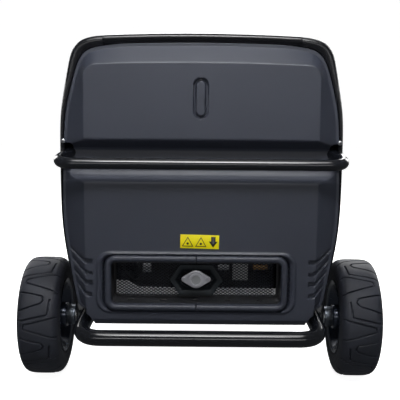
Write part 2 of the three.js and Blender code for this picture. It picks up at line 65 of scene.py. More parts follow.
MUFFLER_FRONT_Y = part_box("muffler_heat_shield")[1].y + 0.0075

# Right half of the side shell's outer section, the same line as the CAD shell's.
SIDE = [
    (0.250, 0.186), (0.255, 0.202), (0.270, 0.287), (0.2765, 0.330), (0.280, 0.380),
    (0.2805, 0.440), (0.2805, 0.530), (0.278, 0.578), (0.271, 0.620), (0.2645, 0.655),
    (0.2595, 0.681), (0.253, 0.697), (0.240, 0.711), (0.219, 0.719), (0.192, 0.722),
]
# Right half of the end covers' outline, from the bottom up to the top cover's lip.
COVER_EDGE = [
    (0.2445, 0.184), (0.2495, 0.196), (0.265, 0.287), (0.2715, 0.330), (0.275, 0.380),
    (0.2745, 0.460), (0.2705, 0.534), (0.2665, 0.581), (0.256, 0.6235), (0.2457, 0.662),
    (0.2395, 0.676), (0.2335, 0.6855), (0.2258, 0.692), (0.218, 0.6965), (0.1985, 0.7005),
    (0.160, 0.7035),
]
SKIRT = [(0.211, 0.151), (0.2135, 0.158), (0.221, 0.169)]
SEAM_Z = 0.7035         # top edge of both end covers
FLANGE_WIDTH = 0.006    # flat border outside their bevel
FACE_HALF = 0.228       # half the flat face's width
FACE_RADIUS = 0.022
COVER_WALL = 0.003
SHELL_WALL = 0.0035
CROWN_RISE = 0.0045
LIP_REACH = 0.004       # from a shell's box to where its rounded lip starts

# Window, as widths and heights in XZ with their corner radius.
WINDOW_HOLE = (0.352, 0.096, 0.016)
WINDOW_WELL = (0.3735, 0.1165, 0.024)
WINDOW_RIDGE = (0.396, 0.124, 0.026)
BEZEL_RING = (0.350, 0.0985, 0.016)
WELL_DEPTH = 0.015
RIDGE_RISE = 0.0034
# Pill-shaped groove and the notches for the guard bar's legs.
PILL = (0.029, 0.076, 0.0145, -0.002, 0.6005)
PILL_DEPTH = 0.0085
NOTCH = (0.040, 0.040, 0.006, 0.2735, 0.4925)
# Openings of the control end.
PANEL_HOLE = (0.404, 0.292, 0.018)
INTAKE_HOLE = (0.352, 0.142, 0.012)
# Axle, tyres and rims.
AXLE_RADIUS = 0.0103
WHEEL_RADIUS = 0.127
RIM_HOLE_CIRCLE = 0.046


# ---- Small helpers ----
def smooth_line(points, rounds=3):
    """Chaikin corner cutting: a rounded line that keeps its two ends."""
    line = np.array(points, float)
    for _ in range(rounds):
        a, b = line[:-1], line[1:]
        cut = np.stack([a * 0.75 + b * 0.25, a * 0.25 + b * 0.75], axis=1).reshape(-1, 2)
        line = np.vstack([line[:1], cut, line[-1:]])
    return line


def resample(line, count):
    """Evenly spaced points along a line."""
    steps = np.r_[0, np.cumsum(np.linalg.norm(np.diff(line, axis=0), axis=1))]
    at = np.linspace(0, steps[-1], count)
    return np.stack([np.interp(at, steps, line[:, k]) for k in range(line.shape[1])], axis=1)


def blend_step(low, high, value):
    """Smooth step from 0 at low to 1 at high."""
    t = np.clip((value - low) / (high - low), 0, 1)
    return t * t * (3 - 2 * t)


def centre_of(node):
    """The low and high corners of a CAD node's box, and its middle."""
    low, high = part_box(node)
    return low, high, (low + high) / 2


def linked(name, mesh, angle=None):
    """A new object in the scene; an angle makes its faces smooth, with sharper edges kept."""
    if angle is not None:
        mesh.polygons.foreach_set("use_smooth", [True] * len(mesh.polygons))
        mesh.set_sharp_from_angle(angle=math.radians(angle))
    obj = bpy.data.objects.new(name, mesh)
    bpy.context.scene.collection.objects.link(obj)
    return obj


@contextlib.contextmanager
def editing(obj):
    """Edits an object's mesh, and writes it back at the end."""
    bm = bmesh.new()
    bm.from_mesh(obj.data)
    yield bm
    bm.to_mesh(obj.data)
    bm.free()


def make(name, vertices, faces, angle=35.0):
    """A mesh object with smooth faces, sharp where they meet at more than an angle."""
    mesh = bpy.data.meshes.new(name)
    mesh.from_pydata([tuple(map(float, v)) for v in vertices], [], faces)
    mesh.validate()
    mesh.update()
    return linked(name, mesh, angle)


def face_outward(obj):
    """Makes a closed mesh's faces point outward."""
    with editing(obj) as bm:
        bmesh.ops.recalc_face_normals(bm, faces=bm.faces)
    return obj


def grid(name, points, keep=None, around=False, across=False, angle=35.0):
    """A surface over rows of points; keep says which cells have a face."""
    rows, columns = points.shape[:2]
    faces = []
    for i in range(rows if around else rows - 1):
        for j in range(columns if across else columns - 1):
            if keep is not None and not keep[i, j]:
                continue
            a, b = i * columns, ((i + 1) % rows) * columns
            k = (j + 1) % columns
            faces.append((a + j, a + k, b + k, b + j))
    used = sorted({v for f in faces for v in f})
    index = {v: i for i, v in enumerate(used)}
    flat = points.reshape(-1, 3)
    return make(name, flat[used], [tuple(index[v] for v in f) for f in faces], angle)


def thicken(obj, thickness, offset=-1.0):
    """Gives an open surface a wall, applied to its mesh."""
    modifier = obj.modifiers.new("wall", "SOLIDIFY")
    modifier.thickness = thickness
    modifier.offset = offset
    modifier.use_even_offset = False
    return applied(obj)


def applied(obj):
    """Applies an object's modifiers to its mesh."""
    bpy.context.view_layer.update()
    evaluated = obj.evaluated_get(bpy.context.evaluated_depsgraph_get())
    mesh = bpy.data.meshes.new_from_object(evaluated)
    obj.modifiers.clear()
    obj.data = mesh
    return obj


def sweep(name, path, radius, sides=24):
    """A round bar with closed ends along a path of points."""
    path = np.array(path, float)
    along = np.gradient(path, axis=0)
    along /= np.linalg.norm(along, axis=1)[:, None]
    side = np.cross(along[0], (0.0, 0.0, 1.0))
    if np.linalg.norm(side) < 0.1:
        side = np.cross(along[0], (0.0, 1.0, 0.0))
    rings = []
    turn = np.linspace(0, 2 * math.pi, sides, endpoint=False)
    for p, t in zip(path, along):
        side = side - t * side.dot(t)
        side /= np.linalg.norm(side)
        other = np.cross(t, side)
        rings.append(p + radius * (np.cos(turn)[:, None] * side + np.sin(turn)[:, None] * other))
    vertices = np.vstack(rings)
    faces = []
    for i in range(len(path) - 1):
        for j in range(sides):
            k = (j + 1) % sides
            faces.append((i * sides + j, i * sides + k, (i + 1) * sides + k, (i + 1) * sides + j))
    last = (len(path) - 1) * sides
    faces.append(tuple(range(sides))[::-1])
    faces.append(tuple(range(last, last + sides)))
    return face_outward(make(name, vertices, faces))


def bent_path(corners, bend):
    """Points through the given corners, each rounded as the CAD bars are."""
    corners = [np.array(c, float) for c in corners]
    points, start = [], corners[0]
    for before, corner, after in zip(corners, corners[1:], corners[2:]):
        enter = corner + bend * (before - corner) / np.linalg.norm(before - corner)
        leave = corner + bend * (after - corner) / np.linalg.norm(after - corner)
        points += [start + (enter - start) * t for t in np.linspace(0, 1, 10, endpoint=False)]
        for t in np.linspace(0, 1, 14, endpoint=False):
            points.append((1 - t) ** 2 * enter + 2 * t * (1 - t) * corner + t * t * leave)
        start = leave
    points += [start + (corners[-1] - start) * t for t in np.linspace(0, 1, 10)]
    return points


AXES = {"X": Matrix(((0, 0, 1), (1, 0, 0), (0, 1, 0))),
        "Y": Matrix(((1, 0, 0), (0, 0, 1), (0, -1, 0))),
        "Z": Matrix.Identity(3)}


def turned(name, profile, axis, centre, segments=64, angle=35.0):
    """A lathed piece from (along, radius) points about an axis through a centre."""
    turn = np.linspace(0, 2 * math.pi, segments, endpoint=False)
    basis = np.array(AXES[axis])
    points = np.zeros((len(profile), segments, 3))
    for i, (along, radius) in enumerate(profile):
        local = np.stack([radius * np.cos(turn), radius * np.sin(turn),
                          np.full(segments, along)], axis=1)
        points[i] = local @ basis.T + np.array(centre)
    obj = grid(name, points, across=True, angle=angle)
    with editing(obj) as bm:
        bmesh.ops.remove_doubles(bm, verts=bm.verts, dist=1e-6)
        bmesh.ops.recalc_face_normals(bm, faces=bm.faces)
    obj.data.set_sharp_from_angle(angle=math.radians(angle))
    return obj


def round_post(name, start, end, radius, axis, centre, segments):
    """A plain cylinder between two places along an axis."""
    profile = [(start, 0), (start, radius), (end, radius), (end, 0)]
    return turned(name, profile, axis, centre, segments)


def rounded_block(name, low, high, bevel=0.002, segments=3):
    """A block with rounded edges between two corners."""
    bm = bmesh.new()
    bmesh.ops.create_cube(bm, size=1.0)
    low, high = Vector(low), Vector(high)
    size, middle = high - low, (high + low) / 2
    for v in bm.verts:
        v.co = Vector((v.co.x * size.x, v.co.y * size.y, v.co.z * size.z)) + middle
    width = min(bevel, min(size) * 0.45)
    bmesh.ops.bevel(bm, geom=bm.edges[:], offset=width, segments=segments, profile=0.5,
                    affect="EDGES")
    mesh = bpy.data.meshes.new(name)
    bm.to_mesh(mesh)
    bm.free()
    return linked(name, mesh, 40)


def joined(name, parts):
    """One object from several, in the order given."""
    bm = bmesh.new()
    for part in parts:
        part.data.transform(part.matrix_world)
        bm.from_mesh(part.data)
        bpy.data.objects.remove(part)
    mesh = bpy.data.meshes.new(name)
    bm.to_mesh(mesh)
    bm.free()
    return linked(name, mesh)


def cut(obj, tool):
    """Cuts a closed tool out of an object, and removes the tool."""
    boolean = obj.modifiers.new("cut", "BOOLEAN")
    boolean.operation = "DIFFERENCE"
    boolean.object = tool
    boolean.solver = "EXACT"
    applied(obj)
    bpy.data.objects.remove(tool)


def rounded_rectangle(width, height, radius, x=0.0, z=0.0):
    """Closed outline points of a rounded rectangle in XZ, counter-clockwise."""
    points = []
    for k, (sx, sz) in enumerate([(1, 1), (-1, 1), (-1, -1), (1, -1)]):
        for t in np.linspace(0, math.pi / 2, 10):
            angle = t + k * math.pi / 2
            points.append((x + sx * (width / 2 - radius) + radius * math.cos(angle),
                           z + sz * (height / 2 - radius) + radius * math.sin(angle)))
    return np.array(points)


def ring_sweep(name, outline, section):
    """A frame along a closed XZ outline; the section holds (outward, y) points."""
    after = np.roll(outline, -1, axis=0)
    before = np.roll(outline, 1, axis=0)
    along = after - before
    along /= np.linalg.norm(along, axis=1)[:, None]
    outward = np.stack([along[:, 1], -along[:, 0]], axis=1)
    points = np.zeros((len(outline), len(section), 3))
    for j, (out, y) in enumerate(section):
        points[:, j, 0] = outline[:, 0] + outward[:, 0] * out
        points[:, j, 2] = outline[:, 1] + outward[:, 1] * out
        points[:, j, 1] = y
    return face_outward(grid(name, points, around=True, across=True, angle=40))


def rectangle_distance(x, z, width, height, radius, cx=0.0, cz=0.0):
    """Signed distance to a rounded rectangle's edge, negative inside."""
    dx = np.abs(x - cx) - width / 2 + radius
    dz = np.abs(z - cz) - height / 2 + radius
    outside = np.hypot(np.maximum(dx, 0), np.maximum(dz, 0))
    return outside + np.minimum(np.maximum(dx, dz), 0) - radius


def line_distance(x, z, line):
    """Least distance from points to a line of segments."""
    best = np.full(x.shape, 1e9)
    for (ax, az), (bx, bz) in zip(line[:-1], line[1:]):
        ux, uz = bx - ax, bz - az
        length = ux * ux + uz * uz
        if length == 0:
            continue
        t = np.clip(((x - ax) * ux + (z - az) * uz) / length, 0, 1)
        best = np.minimum(best, np.hypot(x - ax - t * ux, z - az - t * uz))
    return best


# ---- Materials ----
def material(name, color, rough, metal=0.0, grain=900.0, bump=0.15, variation=0.12,
             rough_spread=0.1, wear=0.0, wear_color=(0.3, 0.3, 0.3), coat=0.0,
             depth=0.0004, stretch=(1, 1, 1), patches=14.0):
    """A procedural finish: patchy colour, uneven gloss, fine grain and worn edges."""
    made = bpy.data.materials.new(name)
    made.use_nodes = True
    tree = made.node_tree
    link = tree.links.new
    bsdf = tree.nodes["Principled BSDF"]
    bsdf.inputs["Metallic"].default_value = metal
    bsdf.inputs["Coat Weight"].default_value = coat
    bsdf.inputs["Coat Roughness"].default_value = 0.08
    place = tree.nodes.new("ShaderNodeTexCoord")
    mapping = tree.nodes.new("ShaderNodeMapping")
    mapping.inputs["Scale"].default_value = stretch
    link(place.outputs["Object"], mapping.inputs["Vector"])

    def noise(scale, detail=3.0):
        node = tree.nodes.new("ShaderNodeTexNoise")
        node.inputs["Scale"].default_value = scale
        node.inputs["Detail"].default_value = detail
        link(mapping.outputs["Vector"], node.inputs["Vector"])
        return node

    def ramp(source, low, high, dark, light):
        node = tree.nodes.new("ShaderNodeValToRGB")
        node.color_ramp.elements[0].position = low
        node.color_ramp.elements[1].position = high
        node.color_ramp.elements[0].color = dark
        node.color_ramp.elements[1].color = light
        link(source, node.inputs["Fac"])
        return node

    def shade(k):
        return tuple(min(c * k, 1.0) for c in color) + (1.0,)

    patch = ramp(noise(patches).outputs["Fac"], 0.3, 0.7, shade(1 - variation),
                 shade(1 + variation))
    color_out = patch.outputs["Color"]
    if wear > 0:
        geometry = tree.nodes.new("ShaderNodeNewGeometry")
        edge = ramp(geometry.outputs["Pointiness"], 0.53, 0.62, (0, 0, 0, 1), (wear, wear, wear, 1))
        mix = tree.nodes.new("ShaderNodeMix")
        mix.data_type = "RGBA"
        link(edge.outputs["Color"], mix.inputs["Factor"])
        link(color_out, mix.inputs["A"])
        mix.inputs["B"].default_value = (*wear_color, 1.0)
        color_out = mix.outputs["Result"]
    link(color_out, bsdf.inputs["Base Color"])
    spread = tree.nodes.new("ShaderNodeMapRange")
    spread.inputs["To Min"].default_value = max(rough - rough_spread, 0.02)
    spread.inputs["To Max"].default_value = min(rough + rough_spread, 1.0)
    link(noise(patches * 2.3, 5.0).outputs["Fac"], spread.inputs["Value"])
    link(spread.outputs["Result"], bsdf.inputs["Roughness"])
    relief = tree.nodes.new("ShaderNodeBump")
    relief.inputs["Strength"].default_value = bump
    relief.inputs["Distance"].default_value = depth
    link(noise(grain, 4.0).outputs["Fac"], relief.inputs["Height"])
    link(relief.outputs["Normal"], bsdf.inputs["Normal"])
    return made


MOULDED = material("moulded_plastic", (0.038, 0.043, 0.061), 0.44, grain=1500, bump=0.35,
                   variation=0.05, rough_spread=0.05, patches=5)
SHELL = material("shell_plastic", (0.0065, 0.0068, 0.009), 0.22, grain=1300, bump=0.3,
                 variation=0.1, rough_spread=0.06, patches=7)
DARK = material("dark_plastic", (0.016, 0.0165, 0.019), 0.42, grain=1500, bump=0.3)
PANEL = material("panel_plastic", (0.03, 0.031, 0.035), 0.5, grain=1800, bump=0.25)
PAINT = material("black_paint", (0.008, 0.009, 0.012), 0.16, grain=240, bump=0.08, coat=0.35,
                 variation=0.15, rough_spread=0.05, wear=0.15, wear_color=(0.05, 0.05, 0.055))
# Rim finish: dark paint, partly lightened and turned bluish as painted reflection of a glossy rim.
RIM_PAINT_AND_REFLECTION = material("rim_paint_and_painted_reflection", (0.035, 0.045, 0.07), 0.26, metal=0.5, grain=300, bump=0.08,
                     coat=0.3, wear=0.2, wear_color=(0.10, 0.12, 0.15))
HUB_STEEL = material("hub_steel", (0.16, 0.18, 0.21), 0.36, metal=0.8, grain=300, bump=0.1)
RUBBER = material("tyre_rubber", (0.024, 0.027, 0.038), 0.60, grain=700, bump=0.5,
                  variation=0.25, rough_spread=0.1, patches=18, depth=0.0006)
SOFT_RUBBER = material("grip_rubber", (0.015, 0.015, 0.016), 0.7, grain=600, bump=0.4)
ZINC = material("zinc", (0.62, 0.63, 0.66), 0.3, metal=1.0, grain=500, bump=0.12,
                variation=0.12, stretch=(1, 6, 1))
FLANGE = material("exhaust_flange_steel", (0.62, 0.62, 0.66), 0.36, metal=0.75, grain=420,
                  bump=0.25, variation=0.12)
CAST = material("cast_aluminium", (0.42, 0.43, 0.44), 0.5, metal=0.9, grain=350, bump=0.6,
                variation=0.15)
MESH_STEEL = material("galvanised_mesh", (0.028, 0.031, 0.040), 0.36, metal=0.6, grain=500,
                      bump=0.3, variation=0.3, patches=40)
SHIELD = material("heat_shield", (0.9, 0.94, 1.0), 0.5, metal=0.35, grain=160, bump=0.6,
                  variation=0.25, patches=30, depth=0.002)
# Near-black muffler: dark steel, darkened further as painted shade of the body's inside behind the
# mesh.
MUFFLER_DARK_AND_SHADE = material("muffler_steel_and_painted_shade", (0.010, 0.0095, 0.0095), 0.65, metal=0.4, grain=260, bump=0.4,
                variation=0.3)
BLUED = material("heat_plate_steel", (0.02, 0.025, 0.03), 0.45, metal=0.4, grain=240, bump=0.3,
                 variation=0.25)
BRASS = material("brass", (0.5, 0.3, 0.12), 0.4, metal=0.6, grain=400, bump=0.2)
GREEN = material("button_green", (0.02, 0.2, 0.05), 0.3, coat=0.4, bump=0.1)
YELLOW = material("plate_yellow", (0.93, 0.8, 0.0), 0.4, grain=900, bump=0.06, variation=0.03)
# Black for the plate's print, and also painted shade: flat black marks standing in for drain,
# socket and screw-recess openings.
INK_AND_SHADE = material("black_print_and_painted_shade", (0.012, 0.012, 0.012), 0.45, bump=0.05)
GLASS = material("display_glass", (0.01, 0.014, 0.016), 0.08, coat=0.8, bump=0.01)
WHITE_MARK = material("panel_marking", (0.62, 0.63, 0.64), 0.5, bump=0.05)
FLOOR = material("studio_floor", (0.9, 0.9, 0.9), 0.9, bump=0.0, variation=0.005)
FLOOR_INPUTS = FLOOR.node_tree.nodes["Principled BSDF"].inputs
FLOOR_INPUTS["Emission Color"].default_value = (1, 1, 1, 1)
FLOOR_INPUTS["Emission Strength"].default_value = 0.93


def dress(obj, finish, body="chassis", replaces=""):
    """Finish, body, slot and replaced node of a new piece."""
    obj.data.materials.clear()
    obj.data.materials.append(finish)
    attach(obj, body)
    if replaces:
        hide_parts(replaces)
    return obj


def paint(node, finish):
    """A better material on a CAD node that stays."""
    slots = NODES[node].data.materials
    slots.clear()
    slots.append(finish)


def softened(node, finish, body="chassis", width=0.0012, segments=2):
    """A copy of a CAD node with rounded edges, standing for that node."""
    obj = linked(node + "_body", NODES[node].data.copy())
    with editing(obj) as bm:
        bmesh.ops.remove_doubles(bm, verts=bm.verts, dist=1e-5)
        bmesh.ops.dissolve_limit(bm, angle_limit=math.radians(1.0), verts=bm.verts,
                                 edges=bm.edges)
    bevel = obj.modifiers.new("edges", "BEVEL")
    bevel.width = width
    bevel.segments = segments
    bevel.limit_method = "ANGLE"
    bevel.angle_limit = math.radians(30)
    applied(obj)
    obj.data.polygons.foreach_set("use_smooth", [True] * len(obj.data.polygons))
    obj.data.set_sharp_from_angle(angle=math.radians(42))
    return dress(obj, finish, body, node)


# ---- Camera and light ----
CAMERA_PLACE = (-0.002, -1.757, 0.592)
CAMERA_LENS = 65.2
CAMERA_DROP = 7.6
CAMERA_ROLL = 0.5
# Softboxes: name, place, target, size, watts, spread in degrees.
LIGHTS = [
    ("top_light", (0.0, -0.95, 1.60), (0, -0.30, 0.45), (1.1, 0.6), 10, 180),
    ("face_light", (0.0, -1.65, 2.0), (0, -0.35, 0.66), (1.0, 0.4), 1.25, 34),
    ("front_strip", (0.0, -3.6, 0.95), (0, 0, 0.42), (3.0, 0.18), 15, 180),
    ("back_light", (0.3, 2.3, 1.9), (0, 0, 0.4), (2.0, 1.2), 60, 180),
    ("left_light", (-2.2, 1.9, 1.6), (0, 0.1, 0.35), (1.2, 1.6), 34, 180),
    ("right_light", (2.2, 1.9, 1.6), (0, 0.1, 0.35), (1.2, 1.6), 34, 180),
]
FLOOR_HALF = 8.0
DOME_RADIUS = 9


def camera():
    """Square-on from the exhaust end, a little above the guard bar, turned slightly."""
    data = bpy.data.cameras.new("camera")
    data.lens = CAMERA_LENS
    data.sensor_width = 36.0
    obj = bpy.data.objects.new("camera", data)
    bpy.context.scene.collection.objects.link(obj)
    obj.location = CAMERA_PLACE
    tilt = Matrix.Rotation(math.radians(90 - CAMERA_DROP), 4, "X")
    roll = Matrix.Rotation(math.radians(CAMERA_ROLL), 4, "Z")
    obj.rotation_euler = (tilt @ roll).to_euler()
    bpy.context.scene.camera = obj


def soft_light(name, place, target, size, power, spread):
    """A rectangular softbox pointing at a place."""
    data = bpy.data.lights.new(name, "AREA")
    data.shape = "RECTANGLE"
    data.size, data.size_y = size
    data.energy = power
    data.spread = math.radians(spread)
    obj = bpy.data.objects.new(name, data)
    obj.location = place
    obj.rotation_mode = "QUATERNION"
    obj.rotation_quaternion = (Vector(target) - Vector(place)).to_track_quat("-Z", "Y")
    obj.visible_camera = False
    bpy.context.scene.collection.objects.link(obj)


def studio():
    """A dim even world, a white surround, a pale floor, and softboxes on every side."""
    world = bpy.data.worlds.new("studio")
    world.use_nodes = True
    world.node_tree.nodes["Background"].inputs["Color"].default_value = (0.93, 0.96, 1, 1)
    world.node_tree.nodes["Background"].inputs["Strength"].default_value = 0.10
    bpy.context.scene.world = world
    bpy.context.scene.view_settings.view_transform = "Standard"
    for light in LIGHTS:
        soft_light(*light)
    h = FLOOR_HALF
    floor = make("studio_floor", [(-h, -h, 0), (h, -h, 0), (h, h, 0), (-h, h, 0)], [(0, 1, 2, 3)])
    floor.data.materials.append(FLOOR)
    for rays in ("diffuse", "glossy"):
        setattr(floor, "visible_" + rays, False)
    surround()


def surround():
    """A far white dome that only the camera sees, so it lights nothing."""
    turn = np.linspace(0, 2 * math.pi, 48, endpoint=False)
    rise = np.linspace(-0.1, math.pi / 2, 14)
    points = np.zeros((len(rise), len(turn), 3))
    for i, a in enumerate(rise):
        points[i, :, 0] = DOME_RADIUS * math.cos(a) * np.cos(turn)
        points[i, :, 1] = DOME_RADIUS * math.cos(a) * np.sin(turn)
        points[i, :, 2] = DOME_RADIUS * math.sin(a)
    dome = grid("studio_surround", points, across=True)
    glow = bpy.data.materials.new("studio_white")
    glow.use_nodes = True
    bsdf = glow.node_tree.nodes["Principled BSDF"]
    bsdf.inputs["Base Color"].default_value = (0, 0, 0, 1)
    bsdf.inputs["Emission Color"].default_value = (1, 1, 1, 1)
    bsdf.inputs["Emission Strength"].default_value = 1.0
    dome.data.materials.append(glow)
    for rays in ("diffuse", "glossy", "transmission", "volume_scatter", "shadow"):
        setattr(dome, "visible_" + rays, False)


camera()
studio()


# ---- End covers ----
def border(z):
    """Width of the side shell's dark front edge outside an end cover."""
    return np.interp(z, [0.30, 0.38, 0.46, 0.534, 0.581, 0.6235, 0.662, 0.69, 0.722],
                     [0.0055, 0.005, 0.006, 0.010, 0.0115, 0.0145, 0.0175, 0.0215, 0.0225])


def end_rows(bottom, low, rows=300, columns=361):
    """Grids of x and z over an end outline, and the right half of that outline."""
    edge = np.array(bottom + smooth_line(COVER_EDGE, 2).tolist())
    z = np.concatenate([np.linspace(low, 0.676, rows, endpoint=False),
                        np.linspace(0.676, SEAM_Z, rows // 6)])
    half = np.interp(z, edge[:, 1], edge[:, 0])
    s = np.linspace(-1, 1, columns)
    x = half[:, None] * s[None, :]
    return x, np.repeat(z[:, None], columns, axis=1), edge


def bevel_fall(x, z, edge, depth, face_top, face_low):
    """Fall from a flat face with crisp edges, over a sloping band, to a narrow flange."""
    middle = (face_top + face_low) / 2
    face = rectangle_distance(x, z, 2 * FACE_HALF, face_top - face_low, FACE_RADIUS, 0, middle)
    face = np.maximum(face, 0)
    rim = np.minimum(line_distance(np.abs(x), z, edge), np.abs(SEAM_Z - z))
    rim = np.maximum(rim - FLANGE_WIDTH, 0)
    t = face / np.maximum(face + rim, 1e-6)
    ease = 0.06
    soft = np.where(t < ease, t * t / (2 * ease), t - ease / 2)
    return depth * soft / (1 - ease / 2)


def crown_lift(x, z):
    """Rise of the covers' tops towards the middle, under the crowned top cover."""
    return CROWN_RISE * (1 - (x / 0.19) ** 2) * blend_step(0.60, 0.70, z)


def channel_fall(z):
    """How far the guard-bar channel lies behind the face at each height."""
    levels = [0.437, 0.4385, 0.444, 0.451, 0.460, 0.466, 0.500, 0.5045, 0.5195, 0.5225]
    depths = [0.0, 0.0012, 0.0125, 0.0205, 0.0270, 0.034, 0.034, 0.0310, 0.0022, 0.0]
    return np.interp(z, levels, depths)


LOUVRES = [
    [(-0.2637, 0.3015), (-0.2319, 0.276), (-0.2147, 0.276)],
    [(-0.2599, 0.2796), (-0.2302, 0.2528), (-0.2149, 0.2528)],
    [(-0.2562, 0.2555), (-0.2304, 0.2324), (-0.2152, 0.2324)],
    [(-0.2504, 0.2282), (-0.2267, 0.2078), (-0.2154, 0.2078)],
]


def louvre_fall(x, z):
    """Depth of the moulded side louvres: pockets with a sharp lower ledge."""
    fall = np.zeros_like(x)
    for side in (1, -1):
        for corners in LOUVRES:
            path = smooth_line(corners, 2)
            distance = line_distance(x * side, z, path)
            level = np.interp(x * side, path[:, 0], path[:, 1])
            above = z >= level
            level_part = blend_step(path[-1, 0] - 0.024, path[-1, 0] - 0.014, x * side)
            deep = np.interp(distance, [0, 0.0012, 0.0068, 0.0084], [0, 0.0085, 0.0080, 0])
            thin = np.interp(distance, [0, 0.0010, 0.0030, 0.0075], [0, 0.0055, 0.0045, 0])
            pocket = np.where(above, deep * level_part + thin * (1 - level_part), 0)
            end = blend_step(path[-1, 0] + 0.001, path[-1, 0] - 0.001, x * side)
            start = blend_step(path[0, 0] - 0.001, path[0, 0] + 0.010, x * side)
            fall = np.maximum(fall, pocket * end * start)
    return fall


def exhaust_cover():
    """The dished exhaust end cover, with channel, ring groove, louvres and window ridge."""
    low = COVER_LOW.z
    x, z, edge = end_rows(SKIRT, low)
    fall = bevel_fall(x, z, edge, 0.0255, 0.665, low - 0.02)
    channel = channel_fall(z)
    fall = np.maximum(fall, channel) + 0.10 * np.minimum(fall, channel)
    fall += 0.008 * blend_step(0.163, low, z)
    pill = rectangle_distance(x, z, *PILL)
    fall += PILL_DEPTH * (1 - blend_step(0.0019, 0.0032, np.abs(pill + 0.0026)))
    ridge = rectangle_distance(x, z, *WINDOW_RIDGE, WINDOW.x, WINDOW.z + 0.001)
    rise = np.clip(1 - ((ridge + 0.0045) / 0.0045) ** 2, 0, 1) ** 0.5
    fall -= RIDGE_RISE * rise
    well = rectangle_distance(x, z, *WINDOW_WELL, WINDOW.x, WINDOW.z)
    fall += WELL_DEPTH * (1 - blend_step(-0.0025, 0.0, well))
    fall += louvre_fall(x, z)
    notch = rectangle_distance(np.abs(x), z, *NOTCH)
    y = FACE_Y + np.clip(fall, -0.0035, 0.045)
    points = np.stack([x, y, z + crown_lift(x, z)], axis=2)
    window = rectangle_distance(x, z, *WINDOW_HOLE, WINDOW.x, WINDOW.z)
    hole = np.minimum(window, notch)
    centre = (hole[:-1, :-1] + hole[1:, 1:]) / 2
    cover = grid("exhaust_end_cover_skin", points, keep=centre > 0, angle=70)
    thicken(cover, COVER_WALL)
    return dress(cover, MOULDED, replaces="exhaust_end_cover")


def control_cover():
    """The control end's cover, with holes for the panel and the air intake."""
    low = CONTROL_LOW.z
    x, z, edge = end_rows([(0.236, low)], low, 240, 301)
    fall = bevel_fall(x, z, edge, 0.0195, 0.678, low - 0.02)
    fall += 0.012 * blend_step(0.192, low, z)
    y = CONTROL_Y - np.clip(fall, 0, 0.040)
    points = np.stack([x, y, z + crown_lift(x, z)], axis=2)[:, ::-1]
    x, z = x[:, ::-1], z[:, ::-1]
    panel = rectangle_distance(x, z, *PANEL_HOLE, 0, PANEL_MIDDLE_Z)
    intake = rectangle_distance(x, z, *INTAKE_HOLE, 0, INTAKE_Z)
    hole = np.minimum(panel, intake)
    centre = (hole[:-1, :-1] + hole[1:, 1:]) / 2
    cover = grid("control_end_cover_skin", points, keep=centre > 0, angle=70)
    thicken(cover, COVER_WALL)
    return dress(cover, MOULDED, replaces="control_end_cover")


exhaust_cover()
control_cover()


# ---- Window ----
def bezel():
    """The rounded tubular window bezel, in two halves that meet at a seam."""
    ring = rounded_rectangle(*BEZEL_RING, WINDOW.x, WINDOW.z + 0.0004)
    outline = resample(np.vstack([ring, ring[:1]]), 421)[:-1]
    turn = np.linspace(0, 2 * math.pi, 20, endpoint=False)
    section = [(0.0068 * np.sign(math.cos(a)) * abs(math.cos(a)) ** 0.8,
                FACE_Y + 0.0020 - 0.0100 * np.sign(math.sin(a)) * abs(math.sin(a)) ** 0.85)
               for a in turn]
    seam_x = (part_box("window_bezel_left")[1].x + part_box("window_bezel_right")[0].x) / 2
    for name, side in (("left", -1), ("right", 1)):
        ring = ring_sweep("window_bezel_ring_" + name, outline, section)
        plane = Vector((seam_x + side * 0.0007, 0, 0))
        with editing(ring) as bm:
            geometry = bm.verts[:] + bm.edges[:] + bm.faces[:]
            bmesh.ops.bisect_plane(bm, geom=geometry, plane_co=plane, plane_no=(-side, 0, 0),
                                   clear_outer=True)
            bmesh.ops.holes_fill(bm, edges=[e for e in bm.edges if e.is_boundary])
            bmesh.ops.recalc_face_normals(bm, faces=bm.faces)
        dress(ring, MOULDED, replaces="window_bezel_" + name)


def window_duct():
    """The recessed walls behind the bezel, with small drain slots on the bottom ledge drawn as flat
    black blocks, painted shade standing in for the openings.
    """
    front = FACE_Y + 0.006
    outline = rounded_rectangle(WINDOW_WIDTH + 0.001, WINDOW_HEIGHT + 0.001, 0.0095,
                                WINDOW.x, WINDOW.z)
    section = [(0.0012, front), (0.006, front), (0.006, GUARD_HIGH.y + 0.004),
               (-0.004, GUARD_HIGH.y + 0.004), (-0.004, GUARD_HIGH.y + 0.001),
               (0.0, GUARD_HIGH.y + 0.001)]
    duct = ring_sweep("window_duct", outline, section)
    dress(duct, DARK)
    floor_z = WINDOW.z - WINDOW_HEIGHT / 2
    # The drain slots are flat black blocks: painted shade, not cut openings.
    slots = [rounded_block("drain", (x - 0.006, front + 0.012, floor_z - 0.001),
                           (x + 0.006, front + 0.018, floor_z + 0.0012), 0.0006)
             for x in np.linspace(-0.14, 0.12, 5)]
    dress(joined("window_drain_painted_shade", slots), INK_AND_SHADE)


